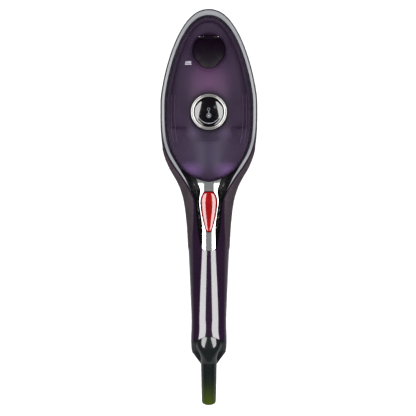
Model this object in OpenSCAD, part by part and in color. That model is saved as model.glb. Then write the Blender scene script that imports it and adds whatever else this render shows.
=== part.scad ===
// Handheld garment steamer: a small steam iron with a water tank on its head and a long slim handle.
// +Y points to the nose, +Z up. The origin is on the ironing face, under the dial's axis.

/* [Head] */
// Width of the head where it is widest
head_w = 90; // [89:0.5:91]
// From the dial's axis to the tip of the nose
nose_y = 96.4; // [95.4:0.2:97.4]
// Thickness of the soleplate
sole_t = 6; // [5:0.5:6]
// Height of the tank dome's crown above the ironing face
crown_z = 60; // [59.5:0.5:61]
// Number of steam holes along each side of the soleplate
side_holes = 7; // [5:1:8]

/* [Shells] */
// Wall of the housing shells and the tank cover
wall = 2.2; // [1.8:0.1:2.4]
// Gap between neighbouring shells
gap = 0.2; // [0.2:0.05:0.25]

/* [Controls] */
// Radius of the temperature dial
knob_r = 16.5; // [16:0.1:16.8]
// Height of the dial's chromed rim above the ironing face
knob_z = 61; // [60.5:0.5:62]
// Radius of the filler flap
lid_r = 15.3; // [15:0.1:15.5]
// Radius of the button's hinge pin
pin_r = 1; // [0.9:0.1:1.1]

/* [Handle end] */
// How far the cord guard leans down from level, in degrees
guard_tilt = 15; // [12:1:16]
// Length of the cord guard outside the end cap
guard_l = 39; // [36:1:42]
// Radius of the bore that the cord passes through
cord_r = 3.6; // [3:0.1:4]

/* [Hidden] */

half = head_w / 2;
widest_y = 11;
nose_l = nose_y - widest_y;
seam_y = -206;         // middle of the seam between handle and end cap
cap_y = -221;          // corner where the end cap turns in
tail_y = -232;         // where the end cap meets the cord guard
guard_z = 36.5;        // height of the guard's axis where it leaves the cap
deck_z = 33;           // ledge that the tank and its trim stand on
rim_z = 35.4;          // lowest edge of the tank cover
shield_top = 15;
arc_steps = 14;        // steps over half a section
nose_steps = 12;
tip = 0.35;            // the first station is this part of a step from the tip
sides = 48;
hinge_y = -106;        // button hinge
pump_y = -84;
filler_y = 57;
filler_tilt = -13;     // the filler leans towards the nose
filler_z = 53.4;
lid_hinge = 13.1;      // from the flap's centre to its hinge axis
lid_hinge_z = -0.9;
tab_r = 11.8;          // finger tab of the filler flap: radius and centre
tab_y = -5.7;
neck_r = 11.2;         // bore of the filler neck
slot_w = 1.1;          // width of the housing's rim outside the trim
trim_w = 3.9;          // from the housing's side to the trim's inner edge, and the same at the nose
trim_nose = 5.9;

// Half width of the body against y, from the handle's end to the head
SIDE = [[tail_y, 7.6], [cap_y, 15.5], [-190, 16.1], [-162, 17.2], [-130, 18.7], [-100, 20.6],
    [-80, 23.4], [-66, 28.1], [-50, half - 8], [-36, half - 2.8], [-20, half - 0.6],
    [-6, half], [widest_y, half]];
// Height of the parting line, the underside and the crown of the body against y
PART = [[tail_y, guard_z], [cap_y, 37.8], [-190, 40.5], [-160, 41.5], [-130, 40.5], [-105, 38],
    [-80, 34.5], [-60, 32], [-45, 31], [nose_y, 31]];
BOTTOM = [[tail_y, guard_z - 7.6], [cap_y, 22.5], [-190, 24.5], [-160, 26], [-130, 25.5],
    [-105, 23.5], [-80, 20], [-60, 16.6], [-48, shield_top + gap], [nose_y, shield_top + gap]];
TOP = [[tail_y, guard_z + 7.6], [cap_y, 53], [-190, 56.5], [-160, 58], [-130, 57.5], [-105, 55.5],
    [-80, 51.5], [-60, 46.5], [-45, 42], [-25, 38.5], [-5, 37], [nose_y, 37]];
// How square the body's section is against y: 2 is an ellipse
SQUARE = [[tail_y, 2], [cap_y, 2.3], [-130, 2.3], [-100, 2.5], [-60, 3.2], [-30, 5], [nose_y, 5]];
// Half width of the opening in the upper housing, and of the trim's inner edge behind the nose
OPENING = [[-127.4, 1.5], [-126.4, 5], [-124.5, 7.2], [-109, 10], [-81, 13], [-72.5, 16.5],
    [-60, 24.1], [-49, half - 13.1], [-38, half - 6.8], [-27, half - 3.3], [-16, half - 1.6],
    [-5, half - slot_w], [widest_y, half - slot_w]];
TRIM_IN = [[-72.5, 16.2], [-65.7, 19.5], [-60, 22.2], [-49, half - 16.2], [-38, half - 9.9],
    [-27, half - 6.1], [-16, half - 4.4], [-5, half - trim_w], [widest_y, half - trim_w]];
// Half width of the silver inlay and of the button against y
INLAY = [[-127.2, 1.5], [-126.3, 4.4], [-124.5, 6.1], [-104.5, 5.9], [-82.3, 8.7], [-71.7, 7.8],
    [-62, 11.1], [-50, 14]];
BUTTON = [[-109.9, 1], [-108.6, 2.4], [-104, 3.9], [-97, 5.7], [-90, 6.9], [-82, 7.5],
    [-76.5, 6.4], [-73.6, 4.2], [-73, 2.4]];
tank_tail = -63.8;     // rearmost point of the tank
tank_turn = -46.9;     // where the tank's side turns into its tail

function cell(t, y, i = 0) = i >= len(t) - 2 || y < t[i + 1][0] ? i : cell(t, y, i + 1);
function chord(t, i, j) = (t[j][1] - t[i][1]) / (t[j][0] - t[i][0]);
function slope(t, i) = chord(t, max(i - 1, 0), min(i + 1, len(t) - 1));
// Value of a table of [y, value] at y, on a smooth curve through its rows
function along(t, y) = let(i = cell(t, y), h = t[i + 1][0] - t[i][0],
    u = min(1, max(0, (y - t[i][0]) / h)), v = 1 - u)
    v * v * (1 + 2 * u) * t[i][1] + u * u * (1 + 2 * v) * t[i + 1][1]
    + h * u * v * (v * slope(t, i) - u * slope(t, i + 1));
// Past the corner of the end cap every outline runs straight
function body(t, y) = y < cap_y ? t[0][1] + (y - tail_y) * chord(t, 0, 1) : along(t, y);
function lean(t, y) = norm([1, along(t, y + 0.5) - along(t, y - 0.5)]);
// Shape of the nose, from 1 at its root to 0 at its tip
function nose(t) = pow(max(0, 1 - pow(t, 1.36)), 0.453);
function half_w(y, d = 0) = y > widest_y ? (half - d) * nose((y - widest_y) / (nose_l - d))
    : body(SIDE, y) - d * lean(SIDE, y);
function nose_ys(l) = [for (i = [0:nose_steps - 1])
    widest_y + l * cos(90 * max(i, tip) / nose_steps)];
function steps(a, b, n) = [for (i = [0:n]) a + (b - a) * i / n];
function flipped(side) = [for (i = [len(side) - 1:-1:0]) [-side[i][0], side[i][1]]];
function mirrored(side) = concat(side, flipped(side));
// Nose outline of a head that is w wide on each side and l long, and the table t behind it to last
function nose_side(w, l) = [for (y = nose_ys(l)) [w * nose((y - widest_y) / l), y]];
function trim_points(inset, l_inset, t, last) = concat(nose_side(half - inset, nose_l - l_inset),
    [for (y = steps(widest_y, last, 14)) [along(t, y), y]]);
// Plan of the head, inset by d, back to last
function head_plan(d, last) = mirrored(concat(nose_side(half - d, nose_l - d),
    [for (y = steps(widest_y, last, 8)) [half_w(y, d), y]]));
function opening_side() = concat(trim_points(slot_w, slot_w, OPENING, -72.5),
    [for (y = steps(-76, -124.5, 8)) [along(OPENING, y), y]], [[5, -126.4], [1.5, -127.4]]);
// Height of the upper housing's skin at x, y, and along the edge of its opening
function skin_z(x, y) = let(n = along(SQUARE, y))
    along(PART, y) + (along(TOP, y) - along(PART, y)) * pow(max(0, 1 - pow(x / half_w(y), n)), 1 / n);
function edge_z(y) = let(v = min(y, 0)) skin_z(along(OPENING, v), v);
// Plan of the tank, inset by d
tail_rise = tank_turn - tank_tail;
turn_x = along(TRIM_IN, tank_turn) - gap;
tail_power = 1.75;     // the tail's curve runs between a straight line and a parabola
function tail_lean(u) = norm([1, tail_power * tail_rise / turn_x * pow(u, tail_power - 1)]);
function tank_side(d) = concat(nose_side(half - trim_w - gap - d, nose_l - trim_nose - gap - d),
    [for (y = steps(widest_y, tank_turn + 0.74 * d + 3, 9))
        [along(TRIM_IN, y) - gap - d * lean(TRIM_IN, y), y]],
    [for (x = steps(turn_x - 0.64 * d, 1.5, 8)) let(u = x / turn_x)
        [x, tank_tail + tail_rise * pow(u, tail_power) + d * tail_lean(u)]]);
function tank_plan(d) = mirrored(tank_side(d));
// Height where the tank's dome starts to curve, level with the pieces round it
function tank_edge_z(p) = p[1] > tank_turn ? edge_z(p[1]) + 1
    : let(u = pow(min(1, abs(p[0]) / turn_x), 1.3))
      (1 - u) * (along(TOP, tank_tail) - 0.4) + u * (edge_z(tank_turn) + 1);

function bend(v, p) = sign(v) * pow(abs(v), p);
// Half a section of the body, inset by d: below the parting line where turn is 180, above it where it is 0.
// A hollow's ends go past the parting line by open
function half_ring(y, d, turn, open) = let(w = half_w(y, d), z = body(PART, y), p = 2 / body(SQUARE, y),
    h = turn > 0 ? z - body(BOTTOM, y) - d : body(TOP, y) - d - z, out = turn > 0 ? open : -open)
    [for (i = [0:arc_steps]) let(a = turn + 180 * i / arc_steps, end = i == 0 || i == arc_steps)
        [w * bend(cos(a), p), y, z + (end ? out : h * bend(sin(a), p))]];
function body_ys(d, first, last) = [for (y = concat(nose_ys(nose_l - d), steps(widest_y, -45, 7),
    steps(-50, -130, 14), steps(-142, cap_y, 6), steps(-224, tail_y, 2))) if (y <= first && y >= last) y];

// Solid through rings of points that turn anticlockwise about the way they follow each other.
// A looped one runs back into its first ring
module loft(rings, looped = false) {
    n = len(rings[0]);
    m = len(rings);
    ends = looped ? [] : [[for (i = [0:n - 1]) i], [for (i = [n - 1:-1:0]) (m - 1) * n + i]];
    polyhedron(points = [for (r = rings) each r], faces = concat(ends,
        [for (k = [0:looped ? m - 1 : m - 2], i = [0:n - 1])
            let(a = k * n, b = (k + 1) % m * n, j = (i + 1) % n)
            each [[a + i, b + i, b + j], [a + i, b + j, a + j]]]));
}
// Joins smooth shells into one closed skin
module skin() {
    resize([0, 0, 0]) children();
}
module half_body(d, turn, open = 0) {
    loft([for (y = body_ys(d, nose_y, tail_y)) half_ring(y, d, turn, open)]);
}
// The same with both halves in one
module whole_body(d, last) {
    loft([for (y = body_ys(d, -190, last)) concat(half_ring(y, d, 180, 0),
        [for (i = [1:arc_steps - 1]) half_ring(y, d, 0, 0)[i]])]);
}
module prism(points, z, h) {
    translate([0, 0, z]) linear_extrude(h) polygon(points);
}
// Everything behind the curved seam between handle and end cap
module behind_seam(back) {
    apex = seam_y - back;
    seam = [for (x = [-10:2.5:10]) [x, apex - 0.03 * x * x]];
    prism(concat([[-30, apex - 7]], seam, [[30, apex - 7], [30, -260], [-30, -260]]), -10, 90);
}
module dome(d) {
    plan = [for (p = tank_plan(d)) [-p[0], p[1]]];
    c = [0, 2];
    top = crown_z - d;
    loft(concat([[for (p = plan) [p[0], p[1], rim_z - (d > 0 ? 1 : 0)]]],
        [for (a = [0, 8, 16, 25, 35, 46, 57, 68, 79, 86]) let(s = pow(cos(a), 0.91))
            [for (p = plan) let(z = tank_edge_z(p) - d * 0.3, q = c + s * (p - c))
                [q[0], q[1], z + (top - z) * sin(a)]]]));
}
function unit(v) = v / norm(v);
// Smooth path through hand-placed points
function path(p, n = 5) = concat([for (i = [0:len(p) - 2], j = [0:n - 1]) let(u = j / n, v = 1 - u,
    a = (p[i + 1] - p[max(i - 1, 0)]) / 2, b = (p[min(i + 2, len(p) - 1)] - p[i]) / 2)
    v * v * (1 + 2 * u) * p[i] + u * u * (1 + 2 * v) * p[i + 1] + u * v * (v * a - u * b)],
    [p[len(p) - 1]]);
// Rings of n points round a path
function rings(p, r, n) = let(last = len(p) - 1) [for (k = [0:last])
    let(t = unit(p[min(k + 1, last)] - p[max(k - 1, 0)]), e = unit(cross([1, 0, 0], t)), f = cross(t, e))
    [for (i = [0:n - 1]) p[k] + r * (cos(360 * i / n) * e + sin(360 * i / n) * f)]];
module hose(points, r, bore) {
    outer = rings(path(points), r, 10);
    inner = rings(path(points), bore, 10);
    skin() loft(concat(outer, [for (k = [len(inner) - 1:-1:0]) inner[k]]), true);
}
module tile(r, h, z) {
    translate([0, 0, z]) cylinder(h = h, r = r, $fn = sides);
}
// Places its children in the filler's own leaning frame
module at_filler() {
    translate([0, filler_y, filler_z]) rotate([filler_tilt, 0, 0]) children();
}
module at_guard() {
    translate([0, tail_y, guard_z]) rotate([90 + guard_tilt, 0, 0]) children();
}

/* Hot end */
sole_inset = 3;
heel_y = 8;            // centre and radius of the rounded heel
heel_r = 62;
element_r = 3.3;
element_x = 22;
element_bend_y = 45;
element_end = -32;     // where the element's contact pins stand
chamber_y = 34;        // centre and radius of the steam chamber
boiler_r = 16;
nozzle_x = -6;
fuse_y = -26;
sole_screw_places = [[0, 79], [-33, -22], [33, -22]];
module heel(grow, z, h) {
    translate([0, 0, z]) linear_extrude(h) intersection() {
        polygon(head_plan(sole_inset - grow, -60));
        union() {
            translate([0, heel_y]) circle(r = heel_r + grow, $fn = 96);
            translate([-60, heel_y]) square([120, 120]);
        }
    }
}
module sole_bores(r, z, h) {
    for (p = sole_screw_places) translate([p[0], p[1], z]) cylinder(h = h, r = r, $fn = 24);
}
module soleplate() {
    hole_pitch = 84 / (side_holes - 1);
    color([0.62, 0.63, 0.65]) difference() {
        hull() {
            heel(-1.6, 0, 0.1);
            heel(0, 1.8, sole_t - 1.8);
        }
        for (i = [0:side_holes - 1], side = [-1, 1]) let(y = -16 + i * hole_pitch)
            translate([side * (half_w(y, 14)), y, -1]) cylinder(h = sole_t + 2, r = 1.4, $fn = 24);
        translate([0, 87, -1]) cylinder(h = sole_t + 2, r = 1.4, $fn = 24);
        sole_bores(1.6, sole_t - 3.5, 4);
    }
}
module heating_element() {
    color([0.35, 0.33, 0.32]) translate([0, 0, sole_t + element_r]) {
        translate([0, element_bend_y, 0]) rotate_extrude(angle = 180, $fn = 64)
            translate([element_x, 0]) circle(r = element_r, $fn = 32);
        for (side = [-1, 1]) {
            translate([side * element_x, element_bend_y, 0]) rotate([90, 0, 0])
                cylinder(h = element_bend_y - element_end + 3, r = element_r, $fn = 32);
            translate([side * element_x, element_end, 0]) cylinder(h = 14, r = 1.2, $fn = 24);
        }
    }
}
module chamber_seal() {
    color([0.75, 0.35, 0.2]) difference() {
        translate([0, chamber_y, sole_t]) cylinder(h = 1, r = boiler_r, $fn = 64);
        translate([0, chamber_y, sole_t - 1]) cylinder(h = 3, r = boiler_r - 2.5, $fn = 64);
    }
}
module steam_chamber_cover() {
    color([0.7, 0.7, 0.72]) difference() {
        union() {
            translate([0, chamber_y, sole_t + 1]) cylinder(h = 5, r = boiler_r, $fn = 64);
            translate([nozzle_x, chamber_y, sole_t + 6]) cylinder(h = 8, r = 3, $fn = 32);
        }
        translate([0, chamber_y, sole_t]) cylinder(h = 4.4, r = boiler_r - 2.5, $fn = 64);
        translate([nozzle_x, chamber_y, sole_t]) cylinder(h = 16, r = 1.8, $fn = 32);
    }
}
module heat_shield() {
    color([0.13, 0.12, 0.13]) difference() {
        heel(1, sole_t + gap, shield_top - sole_t - gap);
        heel(-2, 0, shield_top - 2.4);
        tile(13, 30, 1);
        translate([nozzle_x, chamber_y, 0]) cylinder(h = 30, r = 5, $fn = 32);
        for (side = [-1, 1]) translate([side * element_x, element_end, 0]) cylinder(h = 30, r = 3, $fn = 32);
        translate([0, fuse_y, 0]) cylinder(h = 30, r = 6, $fn = 32);
        sole_bores(1.7, 0, 30);
    }
    color([0.13, 0.12, 0.13]) difference() {
        sole_bores(4, sole_t + gap, shield_top - sole_t - gap - 2);
        sole_bores(1.7, 0, 30);
    }
}
module thermostat() {
    color([0.8, 0.78, 0.7]) {
        tile(11, 2.5, sole_t);
        tile(7.5, 4.5, sole_t + 2.5);
        difference() {
            tile(4.5, 7, sole_t + 7);
            tile(3.1, 8, sole_t + 7.5);
        }
    }
}
module thermal_fuse() {
    color([0.85, 0.85, 0.8]) translate([0, fuse_y, sole_t + 2.6]) rotate([0, 90, 0]) {
        cylinder(h = 14, r = 2.6, center = true, $fn = 32);
        cylinder(h = 26, r = 0.8, center = true, $fn = 24);
    }
}
module sole_screws() {
    color([0.75, 0.75, 0.77]) for (p = sole_screw_places) translate([p[0], p[1], 0]) {
        translate([0, 0, sole_t - 3.3]) cylinder(h = shield_top - sole_t + 3.3, r = 1.5, $fn = 24);
        translate([0, 0, shield_top]) difference() {
            cylinder(h = 2, r = 3, $fn = 32);
            for (a = [0, 90]) rotate([0, 0, a]) translate([-2, -0.4, 1]) cube([4, 0.8, 2]);
        }
    }
}

/* Housing */
screw_ys = [-140, -196];
module screw_posts(r, z, h) {
    for (y = screw_ys) translate([0, y, z]) cylinder(h = h, r = r, $fn = 24);
}
module lower_housing() {
    color([0.2, 0.16, 0.2]) skin() difference() {
        half_body(0, 180);
        difference() {
            half_body(wall, 180, 0.5);
            screw_posts(3.8, 10, 27);
        }
        behind_seam(0);
        screw_posts(1.7, 10, 40);
        for (y = screw_ys) translate([0, y, 0]) cylinder(h = along(BOTTOM, y) + 4, r = 3.2, $fn = 24);
        tile(5.2, 30, 1);
        translate([nozzle_x, chamber_y, 1]) cylinder(h = 24, r = 3.6, $fn = 24);
        for (side = [-1, 1]) translate([side * element_x, element_end, 1]) cylinder(h = 24, r = 3, $fn = 24);
        sole_bores(3.4, 10, 12);
    }
}
module upper_housing() {
    color([0.17, 0.11, 0.18]) skin() difference() {
        translate([0, 0, gap]) half_body(0, 0);
        difference() {
            translate([0, 0, gap]) half_body(wall, 0, 0.5);
            screw_posts(3.8, 41 + gap, 30);
            difference() {
                prism(head_plan(1, -46), 31 + gap, 20);
                prism(head_plan(8, -60), 30, 22);
            }
        }
        prism(mirrored(opening_side()), deck_z, 60);
        behind_seam(0);
        screw_posts(1.6, 30, 23);
    }
}
module housing_screws() {
    color([0.75, 0.75, 0.77]) for (y = screw_ys) let(z = along(BOTTOM, y) + 2) translate([0, y, z]) {
        difference() {
            cylinder(h = 2, r = 2.9, $fn = 32);
            for (a = [0, 90]) rotate([0, 0, a]) translate([-2, -0.4, -1]) cube([4, 0.8, 2]);
        }
        cylinder(h = 22, r = 1.5, $fn = 24);
    }
}
// Cross-section of the silver band, from its outer foot over the top to its inner foot
function band_ring(o, i, side) = let(z = edge_z(o[1]), low = max(deck_z + 0.1, z - 2.6),
    m = (o + i) / 2, pts = [[o, low], [o, z + 0.2], [0.75 * o + 0.25 * i, z + 0.9], [m, z + 1.3],
    [i, z + 1.5], [i, low]])
    [for (k = [0:5]) let(q = pts[k]) [side * q[0][0], q[0][1], q[1]]];
module trim_band() {
    outer = trim_points(slot_w + gap, slot_w + gap, OPENING, -71);
    inner = trim_points(trim_w, trim_nose, TRIM_IN, -71);
    n = len(outer) - 1;
    color([0.86, 0.88, 0.9]) skin() loft(concat(
        [for (k = [n:-1:0]) band_ring(k > nose_steps ? outer[k] - [gap, 0] : outer[k], inner[k], -1)],
        [for (k = [0:n]) band_ring(k > nose_steps ? outer[k] - [gap, 0] : outer[k], inner[k], 1)]));
}

/* Tank */
chamber_inset = 5.2;
chamber_rear = -15;
chamber_r = 26;
well_r = knob_r + 1.1;
well_z = 48;
tray_t = 1.5;
tube_top = 43;         // top of the tray's tube round the dial's stem
stem_way = 5.6;        // bore and outer radius of that tube
tube_r = 7.4;
valve = [16, -14];     // where water leaves the tank
module chamber(d) {
    intersection() {
        polygon(tank_plan(chamber_inset + d));
        union() {
            translate([-60, chamber_rear + d]) square([120, 130]);
            circle(r = chamber_r - d, $fn = 64);
        }
    }
}
module chamber_wall(t0, t1, z, h) {
    translate([0, 0, z]) linear_extrude(h) difference() {
        chamber(t0);
        chamber(t1);
    }
}
module water_tray() {
    color([0.5, 0.45, 0.58]) skin() difference() {
        union() {
            prism(tank_plan(1), deck_z + 0.1, tray_t);
            intersection() {
                chamber_wall(0, 1.6, deck_z + 1, 40);
                dome(wall + 1.6);
            }
            tile(tube_r, tube_top - deck_z - 1, deck_z + 1);
        }
        tile(stem_way, 40, 20);
        translate([valve[0], valve[1], 20]) cylinder(h = 30, r = 2, $fn = 24);
    }
}
module well_seal() {
    color([0.75, 0.35, 0.2]) difference() {
        tile(tube_r, well_z - 2 - tube_top, tube_top);
        tile(stem_way, 10, tube_top - 1);
    }
}
module tank_gasket() {
    color([0.2, 0.2, 0.2]) difference() {
        prism(tank_plan(0.3), deck_z + 0.1 + tray_t, rim_z - deck_z - tray_t - 0.1);
        prism(tank_plan(wall), deck_z, 5);
    }
}
module lid_axis(r, l) {
    translate([-l / 2, lid_hinge, lid_hinge_z]) rotate([0, 90, 0]) cylinder(h = l, r = r, $fn = 32);
}
module tank_cover() {
    color([0.33, 0.27, 0.4, 0.75]) skin() difference() {
        dome(0);
        difference() {
            dome(wall);
            tile(well_r + 1.8, 30, well_z - 2);
            at_filler() translate([0, 0, -7]) cylinder(h = 20, r = lid_r + 1.9, $fn = sides);
        }
        tile(well_r, 40, well_z);
        tile(4.6, 40, 30);
        at_filler() {
            translate([0, 0, -3.6]) cylinder(h = 12, r = lid_r + 0.4, $fn = sides);
            translate([0, tab_y, -3.6]) cylinder(h = 12, r = tab_r + 0.4, $fn = sides);
            translate([0, 0, -20]) cylinder(h = 30, r = neck_r, $fn = sides);
            translate([-7.4, lid_hinge - 3, lid_hinge_z - 2.1]) cube([14.8, 5.4, 14]);
            lid_axis(0.82, 19);
        }
    }
}
module outlet_valve() {
    color([0.6, 0.25, 0.2]) translate([valve[0], valve[1], 0]) difference() {
        union() {
            translate([0, 0, 27]) cylinder(h = deck_z + 0.1 - 27, r = 3.4, $fn = 32);
            translate([0, 0, deck_z]) cylinder(h = 4.1, r = 1.9, $fn = 32);
        }
        translate([0, 0, 20]) cylinder(h = 30, r = 1.2, $fn = 24);
    }
}
module filler_lid() {
    crown = 2.1;
    color([0.1, 0.06, 0.12]) at_filler() difference() {
        union() {
            difference() {
                union() {
                    translate([0, 0, -2.9]) cylinder(h = 2.9, r = lid_r, $fn = sides);
                    translate([0, tab_y, -2.9]) cylinder(h = 2.9, r = tab_r, $fn = sides);
                    scale([lid_r, lid_r, crown]) sphere(r = 1, $fn = sides);
                }
                translate([-20, -20, -22.9]) cube([40, 40, 20]);
                translate([-20, lid_hinge - 2.4, -10]) cube([40, 10, 20]);
            }
            translate([-6.9, lid_hinge - 6, -2.7]) cube([13.8, 6, 3]);
            lid_axis(1.8, 13.8);
        }
        lid_axis(0.85, 40);
    }
}
module filler_seal() {
    color([0.3, 0.3, 0.32]) at_filler() translate([0, 0, -6.4]) difference() {
        cylinder(h = 3.5, r = neck_r - 0.8, $fn = sides);
        translate([0, 0, -1]) cylinder(h = 3.4, r = neck_r - 2.6, $fn = sides);
    }
}
module lid_pin() {
    color([0.75, 0.75, 0.77]) at_filler() lid_axis(0.8, 18.4);
}

/* Dial */
module knob_ring() {
    rim = 1.5;
    color([0.9, 0.9, 0.9]) rotate_extrude($fn = 96) union() {
        translate([knob_r - rim, knob_z - rim]) circle(r = rim, $fn = 32);
        translate([knob_r - rim, well_z + 1.5]) square([rim, knob_z - rim - well_z - 1.5]);
        translate([knob_r - 2 * rim, knob_z - 2 * rim]) square([rim, rim]);
    }
}
module knob_face() {
    r = knob_r - 3.2;
    dome_r = 44;
    top = knob_z + 0.6;
    color([0.05, 0.04, 0.05]) difference() {
        rotate_extrude($fn = 96) intersection() {
            translate([0, top - dome_r]) circle(r = dome_r, $fn = 192);
            union() {
                translate([0, knob_z - 5]) square([r, 20]);
                translate([0, well_z + 1.5]) square([5, 20]);
            }
        }
        tile(3.1, 20, well_z - 8);
    }
}
module knob_stem() {
    color([0.7, 0.68, 0.6]) tile(3, well_z + 11.5 - sole_t - 7.6, sole_t + 7.6);
}

/* Neck */
function insert_w(y) = (y < -71 ? along(OPENING, y) : along(TRIM_IN, y)) - 2 * gap;
// Section of the insert: flat under the inlay, then down into a crease and up to the housing's edge
function insert_ring(y) = let(i = along(INLAY, y), b = max(insert_w(y), i + 0.4), c = i + 0.45 * (b - i),
    zi = along(TOP, y) - 0.9, zb = min(edge_z(y) - 0.3, zi), zc = zb - min(3.2, 0.75 * (b - i)),
    right = [[b, zb - wall], [b, zb], [c, zc], [i, zi]], under = [[i, zi - wall], [c, zc - wall]])
    [for (p = concat(right, flipped(right), flipped(under), under)) [p[0], y, p[1]]];
function button_ys() = concat(steps(-73, -77, 4), steps(-79, -103, 8), steps(-105, -109.9, 5));
function button_plan(grow) = mirrored([for (y = button_ys())
    let(v = y + (y > -75 ? grow : y < -108 ? -grow : 0)) [along(BUTTON, y) + grow, v]]);
button_pin_z = along(TOP, hinge_y) - 3;
module button_hinge(r, l) {
    translate([-l / 2, hinge_y, button_pin_z]) rotate([0, 90, 0]) cylinder(h = l, r = r, $fn = 32);
}
module neck_insert() {
    color([0.06, 0.06, 0.06]) difference() {
        union() {
            skin() difference() {
                loft([for (y = concat(steps(-45, -125, 20), [-126.6])) insert_ring(y)]);
                prism(tank_plan(-gap), 20, 50);
                prism(button_plan(0.6), 20, 50);
            }
            for (side = [-1, 1]) translate([side * 6.1 - 1.1, hinge_y - 2.5, button_pin_z - 3])
                cube([2.2, 5, 3.6]);
        }
        button_hinge(pin_r + 0.02, 30);
    }
}
function bezel_ring(y) = let(i = along(INLAY, y), z = along(TOP, y) - 0.8)
    [for (p = mirrored([[i, 0], [i, 0.7], [0.8 * i, 1.1], [0.4 * i, 1.35]])) [p[0], y, z + p[1]]];
module trigger_bezel() {
    color([0.9, 0.9, 0.9]) skin() difference() {
        loft([for (y = concat(steps(-56, -124, 24), [-125.4, -126.3, -127.2])) bezel_ring(y)]);
        prism(tank_plan(-gap), 20, 50);
        prism(button_plan(0.4), 20, 50);
    }
}
function button_top(y) = along(TOP, y) + 0.9 + 1.6 * sin(180 * min(1, max(0, (-73 - y) / 37)));
function button_ring(y) = let(w = along(BUTTON, y), z = button_top(y))
    [for (p = mirrored([[w, -8], [w, -1.8], [0.85 * w, -0.8], [0.5 * w, -0.15]])) [p[0], y, z + p[1]]];
module steam_button() {
    color([0.72, 0.02, 0.02]) difference() {
        skin() loft([for (y = button_ys()) button_ring(y)]);
        button_hinge(pin_r + 0.06, 30);
    }
}
module button_pin() {
    color([0.75, 0.75, 0.77]) button_hinge(pin_r, 14);
}
pump_foot = 24.2;
port_z = 30;
pump_top = 35;
plunger_z = button_top(pump_y) - 8.9;
module pump_body() {
    color([0.85, 0.85, 0.82]) difference() {
        union() {
            translate([0, pump_y, pump_foot]) cylinder(h = pump_top - pump_foot, r = 6.5, $fn = sides);
            for (side = [-1, 1]) translate([0, pump_y, port_z]) rotate([0, side * 90, 0])
                cylinder(h = 11, r = 2, $fn = 32);
        }
        translate([0, pump_y, pump_foot + 1.5]) cylinder(h = 30, r = 4.6, $fn = sides);
    }
}
module pump_plunger() {
    color([0.6, 0.6, 0.62]) translate([0, pump_y, 0]) {
        translate([0, 0, 29]) cylinder(h = 5, r = 4.55, $fn = sides);
        translate([0, 0, 34]) cylinder(h = plunger_z - 34, r = 1.2, $fn = 32);
        translate([0, 0, plunger_z - 4.2]) cylinder(h = 1, r = 5, $fn = 32);
    }
}
module pump_spring() {
    low = pump_top + 0.1;
    high = plunger_z - 4.3;
    turns = 4;
    n = 10 * turns;
    wire_r = 0.4;
    coil_r = 4.4;
    color([0.8, 0.8, 0.82]) skin() loft([for (i = [0:n]) let(a = 360 * turns * i / n, e = [cos(a), sin(a), 0],
        c = [0, pump_y, low + wire_r + (high - low - 2 * wire_r) * i / n] + coil_r * e)
        [for (k = [0:5]) c + wire_r * (-cos(60 * k) * e + sin(60 * k) * [0, 0, 1])]]);
}
hose_r = 2.4;
hose_bore = 1.5;
module inlet_hose() {
    color([0.8, 0.78, 0.75]) hose([[16, -14, 26.8], [16, -15, 22.5], [15, -24, 20.6], [14, -50, 23.4],
        [13.6, -70, 28], [13.6, -84, port_z]], hose_r, hose_bore);
}
module outlet_hose() {
    color([0.8, 0.78, 0.75]) hose([[-13.6, -84, port_z], [-13.6, -70, 28], [-13, -50, 23.4],
        [-10, -20, 20.6], [-8.6, 8, 23.4], [-7, 22, 27.6], [-6.2, 30, 28.6], [-6, 33.7, 25.4],
        [-6, 34, 20.4]], hose_r, hose_bore);
}
lead_r = 1;
function lead_route(side) = [for (p = [[22, -32, 24.6], [21, -42, 28], [18, -58, 32], [14, -80, 36],
    [12, -100, 38], [9, -150, 38], [5, -186, 38.6]]) [side * p[0], p[1], p[2]]];
module live_wire() {
    color([0.5, 0.3, 0.15]) skin() loft(rings(path(lead_route(1), 4), lead_r, 6));
}
module neutral_wire() {
    color([0.2, 0.35, 0.7]) skin() loft(rings(path(lead_route(-1), 4), lead_r, 6));
}

/* Handle end */
block_w = 18;          // width of the terminal block and of the cord clamp
terminal_y = -191;
clamp_y = -208;
module terminal_block() {
    color([0.9, 0.88, 0.8]) difference() {
        translate([-block_w / 2, terminal_y, 34]) cube([block_w, 5, 9]);
        for (x = [-5, 5]) translate([x, terminal_y + 11, 38.6]) rotate([90, 0, 0])
            cylinder(h = 20, r = lead_r + 0.1, $fn = 24);
    }
}
module cord_clamp() {
    color([0.12, 0.12, 0.12]) difference() {
        translate([-block_w / 2, clamp_y, 36.5]) cube([block_w, 7, 9]);
        translate([0, clamp_y + 18, 38.5]) rotate([90, 0, 0]) cylinder(h = 30, r = cord_r, $fn = 32);
    }
}
module end_cap() {
    color([0.08, 0.09, 0.09]) skin() difference() {
        intersection() {
            difference() {
                whole_body(0, tail_y);
                whole_body(wall, tail_y + 4);
            }
            behind_seam(gap);
        }
        at_guard() translate([0, 0, -12]) cylinder(h = 30, r = 7.5, $fn = sides);
    }
}
module cord_guard() {
    r0 = 7.4;
    r1 = 6.7;
    end = 2.2;
    color([0.09, 0.1, 0.1]) at_guard() rotate_extrude($fn = 64) difference() {
        union() {
            polygon([[cord_r, -7.8], [r0, -7.8], [r0, 0], [r1, guard_l - end], [cord_r, guard_l - end]]);
            translate([0, guard_l - end]) intersection() {
                translate([r1 - end, 0]) circle(r = end, $fn = 32);
                square([r1, end]);
            }
            translate([cord_r, guard_l - end]) square([r1 - end - cord_r, end]);
            translate([cord_r, -10]) square([7.8 - cord_r, 2.4]);
        }
        translate([-20, -20]) square([20 + cord_r, 90]);
    }
}

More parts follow.
